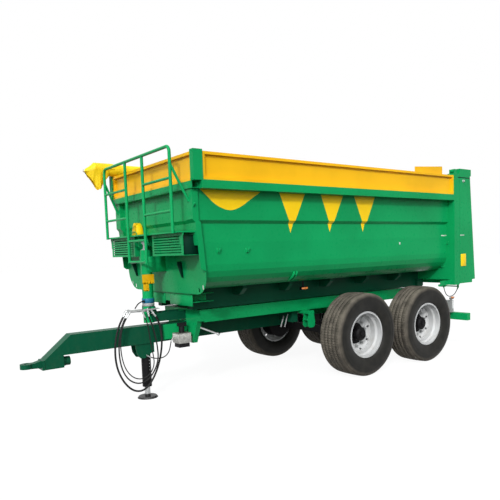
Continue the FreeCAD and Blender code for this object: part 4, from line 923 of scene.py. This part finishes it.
class TRAILER_OT_tarpaulin(bpy.types.Operator):
    """Rolled tarpaulin on the right boards, its drape and its pole"""
    bl_idname = "trailer.tarpaulin"
    bl_label = "Tarpaulin"

    def execute(self, context):
        settings = context.scene.tarp_settings
        roll = new_piece("tarpaulin_roll", rolled_cloth(settings), "tarp", "tub")
        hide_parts("tarp_roll")
        flap = new_piece("tarpaulin_drape", drape(), "tarp", "tub")
        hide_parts("tarp_roll")
        pole = bmesh.new()
        spun(pole, POLE, spot(POLE_START), POLE_WAY, 18)
        piece = new_piece("tarp_pole", pole, "steel", "tub")
        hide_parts("tarp_roll")
        return {"FINISHED"}


# ---- lamps and reflectors ----
# Finish and body of each piece, and its blocks on the left: x, y, z, bevel and segments.
LAMPS = {
    "marker_lenses": ("amber_lens", "tub", [
        ((1.262, 1.362), (0.672, 0.684), (1.153, 1.178), 0.004, 3)]),
    "amber_lenses": ("amber_lens", "chassis", [
        ((-1.562, -1.500), (0.884, 0.914), (0.822, 0.848), 0.008, 3),
        ((-1.583, -1.562), (0.670, 0.785), (0.615, 0.715), 0.006, 3)]),
    "rear_lenses": ("red_lens", "chassis", [
        ((-1.583, -1.562), (0.790, 0.885), (0.615, 0.715), 0.006, 3),
        ((-1.580, -1.562), (0.600, 0.860), (0.735, 0.770), 0.005, 2)]),
    "clear_lenses": ("clear_lens", "chassis", [
        ((-1.583, -1.562), (0.575, 0.665), (0.615, 0.715), 0.006, 3),
        ((-1.545, -1.512), (0.903, 0.909), (0.66, 0.78), 0.004, 2)]),
    "pale_strips_and_highlight": ("pale", "tub", [
        ((-1.300, -1.170), (0.9485, 0.9515), (1.778, 1.791), 0.0006, 1),
        ((-0.225, -0.194), (0.9515, 0.9535), (1.673, 1.703), 0.0006, 1),
        # This pale mark on the front wall stands for a white highlight there: painted highlight.
        ((2.9065, 2.9135), (0.878, 0.896), (1.268, 1.328), 0.0006, 1)]),
    "gate_strips": ("pale", "tailgate", [
        ((-1.560, -1.455), (1.0795, 1.0815), (1.776, 1.789), 0.0006, 1)]),
    "gate_reflectors": ("flag", "tailgate", [
        ((-1.600, -1.469), (1.0795, 1.0870), (1.318, 1.501), 0.003, 2)]),
}


class TRAILER_OT_lamps(bpy.types.Operator):
    """Lenses of the side markers and rear lamps, and the reflectors"""
    bl_idname = "trailer.lamps"
    bl_label = "Lamps and reflectors"

    def execute(self, context):
        for name, (finish, body, blocks) in LAMPS.items():
            bm = bmesh.new()
            for side in SIDES.values():
                for x, y, z, bevel, segments in blocks:
                    block(bm, x, across(side, *y), z, bevel, segments)
            new_piece(name, bm, finish, body)
        return {"FINISHED"}


# ---- fittings on the tub's sides ----
HOOKS = [(2.756, 1.666), (2.384, 1.661), (-1.292, 1.333), (-1.292, 1.673)]
FINS = (1.673, 1.342)
# Height from the middle, and reach off the hull, of a fin's outer edge.
FIN_EDGE = [(0.058, 0.018), (0.030, 0.040), (0.0, 0.046), (-0.034, 0.040), (-0.058, 0.022)]
GATE_SIDE = 1.0796


class TRAILER_OT_side_fittings(bpy.types.Operator):
    """Rope hooks, the two-finned bracket, the tailgate's bolts, and dark strips below its cap as
    painted shadow
    """
    bl_idname = "trailer.side_fittings"
    bl_label = "Side fittings"

    def execute(self, context):
        tub, gate, shade_strips = (bmesh.new() for _ in range(3))
        for side in SIDES.values():
            for x, z in HOOKS:
                self.hook(tub, x, side, z)
            self.fins(tub, side)
            bolt = spot((-1.540, side * GATE_SIDE, 2.586))
            hex_nut(gate, bolt, 0.030, 0.016, (0, side, 0), 0.008)
            # Dark strip under the tailgate's cap: painted shadow of the cap.
            block(shade_strips, (-1.715, -1.400), across(side, 1.0785, 1.0830), (2.628, 2.640), 0.0012, 1)
        new_piece("rope_hooks", tub, "green", "tub")
        new_piece("gate_bolts", gate, "steel", "tailgate", False)
        new_piece("gate_shade_strips", shade_strips, "dark", "tailgate")
        return {"FINISHED"}

    def hook(self, bm, x, side, z):
        """Small plate that leans with the hull, and a rod hooked upwards."""
        run = Vector((0, hull_y(z + 0.015) - hull_y(z - 0.015), 0.030)).normalized()
        out = Vector((0, run.z, -run.y))
        foot = Vector((x, hull_y(z), z))
        half, tall, sunk, thick = 0.014, 0.028, -0.003, 0.007

        def point(shift, proud, up):
            made = foot + Vector((shift, 0, 0)) + out * proud + run * up
            return (made.x, side * made.y, made.z)

        outline = [point(-half, sunk, -tall), point(half, sunk, -tall), point(half, sunk, tall),
                   point(-half, sunk, tall)]
        push = out * thick
        plate(bm, outline, (0, side * push.y, push.z))
        bent_rod(bm, [point(0, 0, -0.014), point(0, 0.022, -0.016), point(0, 0.030, 0.002),
                      point(-0.006, 0.030, 0.020), point(-0.026, 0.026, 0.030)], 0.006)

    def fins(self, bm, side):
        """Two upright fins with a bar through both."""
        x, z = FINS
        sunk = [(hull_y(z + up) - 0.002, z + up) for up in (-0.058, -0.034, 0.0, 0.030, 0.058)]
        edge = [(hull_y(z + up) + proud, z + up) for up, proud in FIN_EDGE]
        for shift in (-0.022, 0.022):
            low = x + shift - 0.004
            plate(bm, [(low, side * y, height) for y, height in sunk + edge], (0.008, 0, 0))
        hole = side * (hull_y(z + 0.018) + 0.024)
        pin(bm, (x - 0.030, hole, z + 0.018), (x + 0.030, hole, z + 0.018), 0.006, 12)


# ---- the ram's rings and labels ----
RAM_RADIUS = 0.063
TAG_FACING, TAG_TOUCH, TAG_THICK = math.radians(62), 0.0655, 0.0012
# Name, finish, ends and how far it stands proud of the ram.
RAM_RINGS = [("ram_ring", "blue", 1.098, 1.152, 0.009), ("ram_foot", "grey", 1.062, 1.098, 0.007)]


class TRAILER_OT_ram_fittings(bpy.types.Operator):
    """Blue gland ring, grey foot, blank labels and oil pipe of the ram"""
    bl_idname = "trailer.ram_fittings"
    bl_label = "Ram fittings"

    def execute(self, context):
        low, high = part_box("ram_tube")
        x, ease = (low.x + high.x) / 2, 0.003
        for name, finish, z0, z1, proud in RAM_RINGS:
            bm = bmesh.new()
            reach, inner, outer = z1 - z0, RAM_RADIUS - 0.004, RAM_RADIUS + proud
            profile = [(0.0, inner), (0.0, outer - ease), (ease, outer), (reach - ease, outer),
                       (reach, outer - ease), (reach, inner)]
            spun(bm, profile, (x, 0.0, z0), (0, 0, 1), 40)
            new_piece(name, bm, finish, "ram_tube")
        self.tag("ram_tag", x, 0.220, (-0.052, 0.084), (1.322, 1.428))
        self.tag("ram_label", x, RAM_RADIUS + TAG_THICK, (-0.050, 0.022), (1.238, 1.321))
        pipe = bmesh.new()
        bent_rod(pipe, [(3.178, 0.030, 1.120), (3.205, 0.042, 1.124), (3.250, 0.056, 1.118),
                        (3.300, 0.066, 1.085), (3.322, 0.070, 1.050)], 0.007)
        pin(pipe, (3.182, 0.032, 1.121), (3.206, 0.042, 1.124), 0.013, 6)
        new_piece("ram_pipe", pipe, "hose", "ram_tube")
        return {"FINISHED"}

    def tag(self, name, x, bend, wide, tall):
        """Blank yellow sheet that curves round the ram's front."""
        touch = TAG_TOUCH - bend

        def place(wide_share, up):
            turn = (wide[0] + (wide[1] - wide[0]) * wide_share) / bend
            out, side = touch + bend * math.cos(turn), bend * math.sin(turn)
            return (x + out * math.cos(TAG_FACING) - side * math.sin(TAG_FACING),
                    out * math.sin(TAG_FACING) + side * math.cos(TAG_FACING),
                    tall[0] + (tall[1] - tall[0]) * up)

        bm = sheet(20, 4, place)
        bmesh.ops.solidify(bm, geom=bm.faces[:], thickness=TAG_THICK)
        new_piece(name, bm, "label", "ram_tube")


# ---- fittings on the front wall ----
CHOCK_X, CHOCK_WIDE = 2.992, 0.085
CHOCK = [(-0.470, 1.885), (-0.310, 1.875), (-0.310, 1.925), (-0.330, 1.985), (-0.370, 2.030),
         (-0.405, 2.040), (-0.432, 2.005), (-0.462, 1.940)]
# Outlines of a cheek and of a wedge under the platform, and the y where they start. The wedges'
# dark paint is painted shade under the platform.
CHEEK_Y, CHEEK = 0.100, [(2.936, 1.630), (3.157, 1.630), (3.157, 1.470), (3.140, 1.452),
                         (2.921, 1.452)]
WEDGES_Y, WEDGE = (0.486, -0.704), [(2.930, 1.565), (2.992, 1.565), (2.992, 1.530),
                                    (2.944, 1.386), (2.916, 1.386)]


class TRAILER_OT_front_fittings(bpy.types.Operator):
    """Wheel chock in its holder, handles, and small plates below the platform"""
    bl_idname = "trailer.front_fittings"
    bl_label = "Front fittings"

    def execute(self, context):
        chock, green, handles = (bmesh.new() for _ in range(3))
        plate(chock, [(CHOCK_X, y, z) for y, z in CHOCK], (CHOCK_WIDE, 0, 0), 0.008)
        for z in (1.915, 1.955, 1.995):
            block(chock, (3.075, 3.080), (-0.435, -0.335), (z - 0.005, z + 0.005), 0.002, 1)
        block(green, (2.975, 3.092), (-0.490, -0.295), (1.861, 1.874))
        bent_rod(green, [(3.084, -0.298, 1.872), (3.092, -0.298, 1.925), (3.092, -0.390, 1.930),
                         (3.092, -0.482, 1.925), (3.084, -0.486, 1.872)], 0.005)
        bent_rod(handles, [(3.030, 0.872, 2.060), (3.040, 0.930, 2.075), (3.044, 0.985, 2.120),
                           (3.040, 1.010, 2.153)], 0.010)
        pin(handles, (3.030, 0.872, 2.045), (3.030, 0.872, 2.075), 0.016)
        bent_rod(handles, [(3.150, 0.117, 1.861), (3.152, 0.122, 1.800), (3.152, 0.150, 1.775),
                           (3.150, 0.169, 1.759)], 0.009)
        new_piece("wheel_chock", chock, "label", "tub")
        new_piece("chock_holder", green, "green", "tub")
        new_piece("front_handles", handles, "green", "tub")
        self.wall_plates()
        return {"FINISHED"}

    def wall_plates(self):
        """The skirt's apron, cheeks beside the ram's head, and the platform's brackets and ends,
        whose dark paint is painted shade.
        """
        apron, cheeks, shade_plates = (bmesh.new() for _ in range(3))
        for side in SIDES.values():
            plate(cheeks, upright(side * CHEEK_Y, *CHEEK), (0, side * 0.006, 0))
            # Thin dark plate at the platform's near end: painted shade in the end's hollow.
            block(shade_plates, (2.945, 3.130), across(side, 0.900, 0.906), (1.640, 1.838), 0.0015, 1)
            block(apron, (2.869, 2.877), across(side, 0.062, 0.585), (1.066, 1.190), 0.002, 1)
        for y in WEDGES_Y:
            plate(shade_plates, upright(y, *WEDGE), (0, 0.008, 0))
        new_piece("skirt_apron", apron, "green", "tub")
        new_piece("ram_cheeks", cheeks, "green", "tub")
        # The end plates and the wedges are dark as painted shade under and beside the platform.
        new_piece("platform_shade_plates", shade_plates, "dark", "tub")


# ---- fittings on the drawbar and chassis ----
LEVERS_Y = 0.300
LEVERS = [[(1.357, 0.789), (1.385, 0.720), (1.413, 0.650)],
          [(1.288, 0.809), (1.317, 0.728), (1.346, 0.642)]]
BRAKE_ROD = [(2.657, 0.797), (2.560, 0.754), (2.460, 0.710), (2.392, 0.681)]
# The jack's tube, and the way that its bolts face.
JACK_X, JACK_RADIUS, JACK_FACING = 3.190, 0.0535, (-0.35, 0.937, 0)
RIBS, RIB_PITCH, RIB_TALL = 9, 0.0165, (0.632, 0.726)


class TRAILER_OT_drawbar_fittings(bpy.types.Operator):
    """Hose couplers, brake valve ribs, hand brake rod, levers and bolts"""
    bl_idname = "trailer.drawbar_fittings"
    bl_label = "Drawbar fittings"

    def execute(self, context):
        steel, levers, valve, bolts = (bmesh.new() for _ in range(4))
        for _, body, radius, points in HOSE_ROUTES.values():
            if body == "chassis":
                self.coupler(steel, points[0], points[1], radius)
                self.coupler(steel, points[-1], points[-2], radius)
        self.valve_ribs(valve)
        bent_rod(steel, upright(LEVERS_Y, *BRAKE_ROD), 0.011)
        pin(steel, (2.398, LEVERS_Y, 0.690), (2.368, LEVERS_Y, 0.664), 0.018, 14)
        for route in LEVERS:
            bent_rod(levers, upright(LEVERS_Y, *route), 0.008)
        for z in (0.330, 0.366, 0.402, 0.438):
            x, y = (JACK_RADIUS * way for way in JACK_FACING[:2])
            hex_nut(bolts, (along(JACK_X) + x, y, z), 0.010, 0.003, JACK_FACING)
        new_piece("couplers", steel, "steel", "chassis")
        new_piece("valve_ribs", valve, "cast", "chassis")
        new_piece("jack_bolts", bolts, "grey", "chassis", False)
        new_piece("levers", levers, "grey", "chassis")
        return {"FINISHED"}

    def coupler(self, bm, first, second, radius):
        """Crimped sleeve on a hose's end with a hexagon behind it."""
        end = spot(first)
        way = (spot(second) - end).normalized()
        wide = radius * 1.32
        waist = wide * 0.93
        spun(bm, [(-0.002, 0.0), (-0.002, wide), (0.010, wide), (0.012, waist), (0.018, wide),
                  (0.026, wide), (0.028, waist), (0.034, wide), (0.044, wide),
                  (0.046, radius * 1.03), (0.046, radius * 0.9)], end, way, 18)
        hex_nut(bm, end + way * -0.014, radius * 3.1, 0.014, way)

    def valve_ribs(self, bm):
        """Ribs down the brake valve's left and front sides."""
        for n in range(RIBS):
            x = 2.752 + n * RIB_PITCH
            block(bm, (x - 0.003, x + 0.003), (0.2790, 0.2850), RIB_TALL, 0.0012, 1)
        for n in range(RIBS):
            y = 0.140 + n * RIB_PITCH
            block(bm, (2.8990, 2.9050), (y - 0.003, y + 0.003), RIB_TALL, 0.0012, 1)


# ---- stage ----
CAMERA_SHIFT, CLIP_END = (-0.0226, 0.0906), 200.0
AIM = Vector((0, 0, 1))
SOFT_PLACE = AIM + Vector((5.0, 5.2, 6.0))
SUN_FAR, SUN_WIDE, SOFT_WIDE = 12, 5, 80
FLOOR_HALF, FLOOR_TINT, FLOOR_SEEN = 60.0, 0.10, 0.93
SKY_TINT = (0.86, 0.93, 1.0, 1)


def add_sun(name, power, place, degrees):
    """Sun lamp that shines from place on the trailer, as wide as the degrees say."""
    light = bpy.data.lights.new(name, "SUN")
    light.energy = power
    light.angle = math.radians(degrees)
    lamp = add_object(name, light)
    lamp.location = place
    lamp.rotation_euler = (AIM - place).to_track_quat("-Z", "Y").to_euler()


def direction(azimuth, height):
    """Way from the trailer to a far point, its azimuth counted from ahead to the left."""
    return Vector((math.cos(azimuth) * math.cos(height), math.sin(azimuth) * math.cos(height),
                   math.sin(height)))


def camera_matrix(settings):
    roll = settings.roll
    ahead = -direction(settings.yaw, -settings.pitch)
    right = ahead.cross(Vector((0, 0, 1))).normalized()
    up = right.cross(ahead)
    leaned_right = right * math.cos(roll) + up * math.sin(roll)
    leaned_up = up * math.cos(roll) - right * math.sin(roll)
    turn = Matrix((leaned_right, leaned_up, -ahead)).transposed().to_4x4()
    place = spot((settings.distance_x, settings.distance_y, settings.height))
    return Matrix.Translation(place) @ turn


def background_seen(tree):
    """One where the camera, a gloss or a glass looks straight at the background."""
    path = put(tree, "LightPath").outputs
    seen = math_node(tree, "MAXIMUM", path["Is Camera Ray"], path["Is Glossy Ray"])
    return math_node(tree, "MAXIMUM", seen, path["Is Transmission Ray"])


class TRAILER_OT_stage(bpy.types.Operator):
    """White floor, soft daylight and the camera"""
    bl_idname = "trailer.stage"
    bl_label = "Stage"

    def execute(self, context):
        scene = context.scene
        settings = scene.stage_settings
        camera = bpy.data.cameras.new("camera")
        camera.lens = settings.lens
        camera.shift_x, camera.shift_y = CAMERA_SHIFT
        camera.clip_end = CLIP_END
        holder = add_object("camera", camera)
        holder.matrix_world = camera_matrix(settings)
        scene.camera = holder
        self.floor()
        self.sky(scene)
        way = direction(math.radians(settings.sun_azimuth), math.radians(settings.sun_height))
        add_sun("sun", settings.sun_power, AIM + way * SUN_FAR, SUN_WIDE)
        add_sun("soft", settings.soft_power, SOFT_PLACE, SOFT_WIDE)
        scene.view_settings.view_transform = "Standard"
        return {"FINISHED"}

    def floor(self):
        """Wide floor that looks white and takes the shadow."""
        bm = bmesh.new()
        bmesh.ops.create_grid(bm, x_segments=2, y_segments=2, size=FLOOR_HALF)
        mesh = bpy.data.meshes.new("floor")
        bm.to_mesh(mesh)
        bm.free()
        piece = add_object("floor", mesh)
        tree, shader = principled("floor")
        wire(tree, shader, Base_Color=rgba([FLOOR_TINT] * 3), Roughness=1.0,
             Specular_IOR_Level=0.0, Emission_Color=(1, 1, 1, 1),
             Emission_Strength=times(tree, background_seen(tree), FLOOR_SEEN))
        mesh.materials.append(material("floor"))

    def sky(self, scene):
        """Plain bluish light that is seen as white."""
        scene.world = bpy.data.worlds.new("studio")
        scene.world.use_nodes = True
        tree = scene.world.node_tree
        seen = background_seen(tree)
        wire(tree, tree.nodes["Background"],
             Color=mix_colour(tree, seen, SKY_TINT, (1, 1, 1, 1)),
             Strength=ramp(tree, seen, 0.0, 1.0, scene.stage_settings.sky_power, 1.0))


# ---- add-on ----
class TRAILER_PT_panel(bpy.types.Panel):
    """Lists the steps that dress the trailer"""
    bl_label = "Tipping trailer"
    bl_idname = "TRAILER_PT_panel"
    bl_space_type = "VIEW_3D"
    bl_region_type = "UI"
    bl_category = "Trailer"

    def draw(self, context):
        for step in STEPS:
            self.layout.operator(step)


GROUPS = {"trailer_paint": TrailerPaint, "tyre_sizes": TyreSizes, "wheel_fittings": WheelFittings,
          "tarp_settings": TarpSettings, "stage_settings": StageSettings}
OPERATORS = [TRAILER_OT_stage, TRAILER_OT_paint, TRAILER_OT_hoses, TRAILER_OT_tyres,
             TRAILER_OT_wheel_fittings, TRAILER_OT_motifs, TRAILER_OT_tarpaulin,
             TRAILER_OT_lamps, TRAILER_OT_side_fittings, TRAILER_OT_ram_fittings,
             TRAILER_OT_front_fittings, TRAILER_OT_drawbar_fittings]
STEPS = [operator.bl_idname for operator in OPERATORS]


def register():
    for group in GROUPS.values():
        bpy.utils.register_class(group)
    for name, group in GROUPS.items():
        setattr(bpy.types.Scene, name, PointerProperty(type=group))
    for operator in OPERATORS + [TRAILER_PT_panel]:
        bpy.utils.register_class(operator)


def unregister():
    for operator in reversed(OPERATORS + [TRAILER_PT_panel]):
        bpy.utils.unregister_class(operator)
    for name, group in GROUPS.items():
        delattr(bpy.types.Scene, name)
        bpy.utils.unregister_class(group)


def main():
    register()
    for step in STEPS:
        group, name = step.split(".")
        getattr(getattr(bpy.ops, group), name)()


if __name__ == "__main__":
    main()
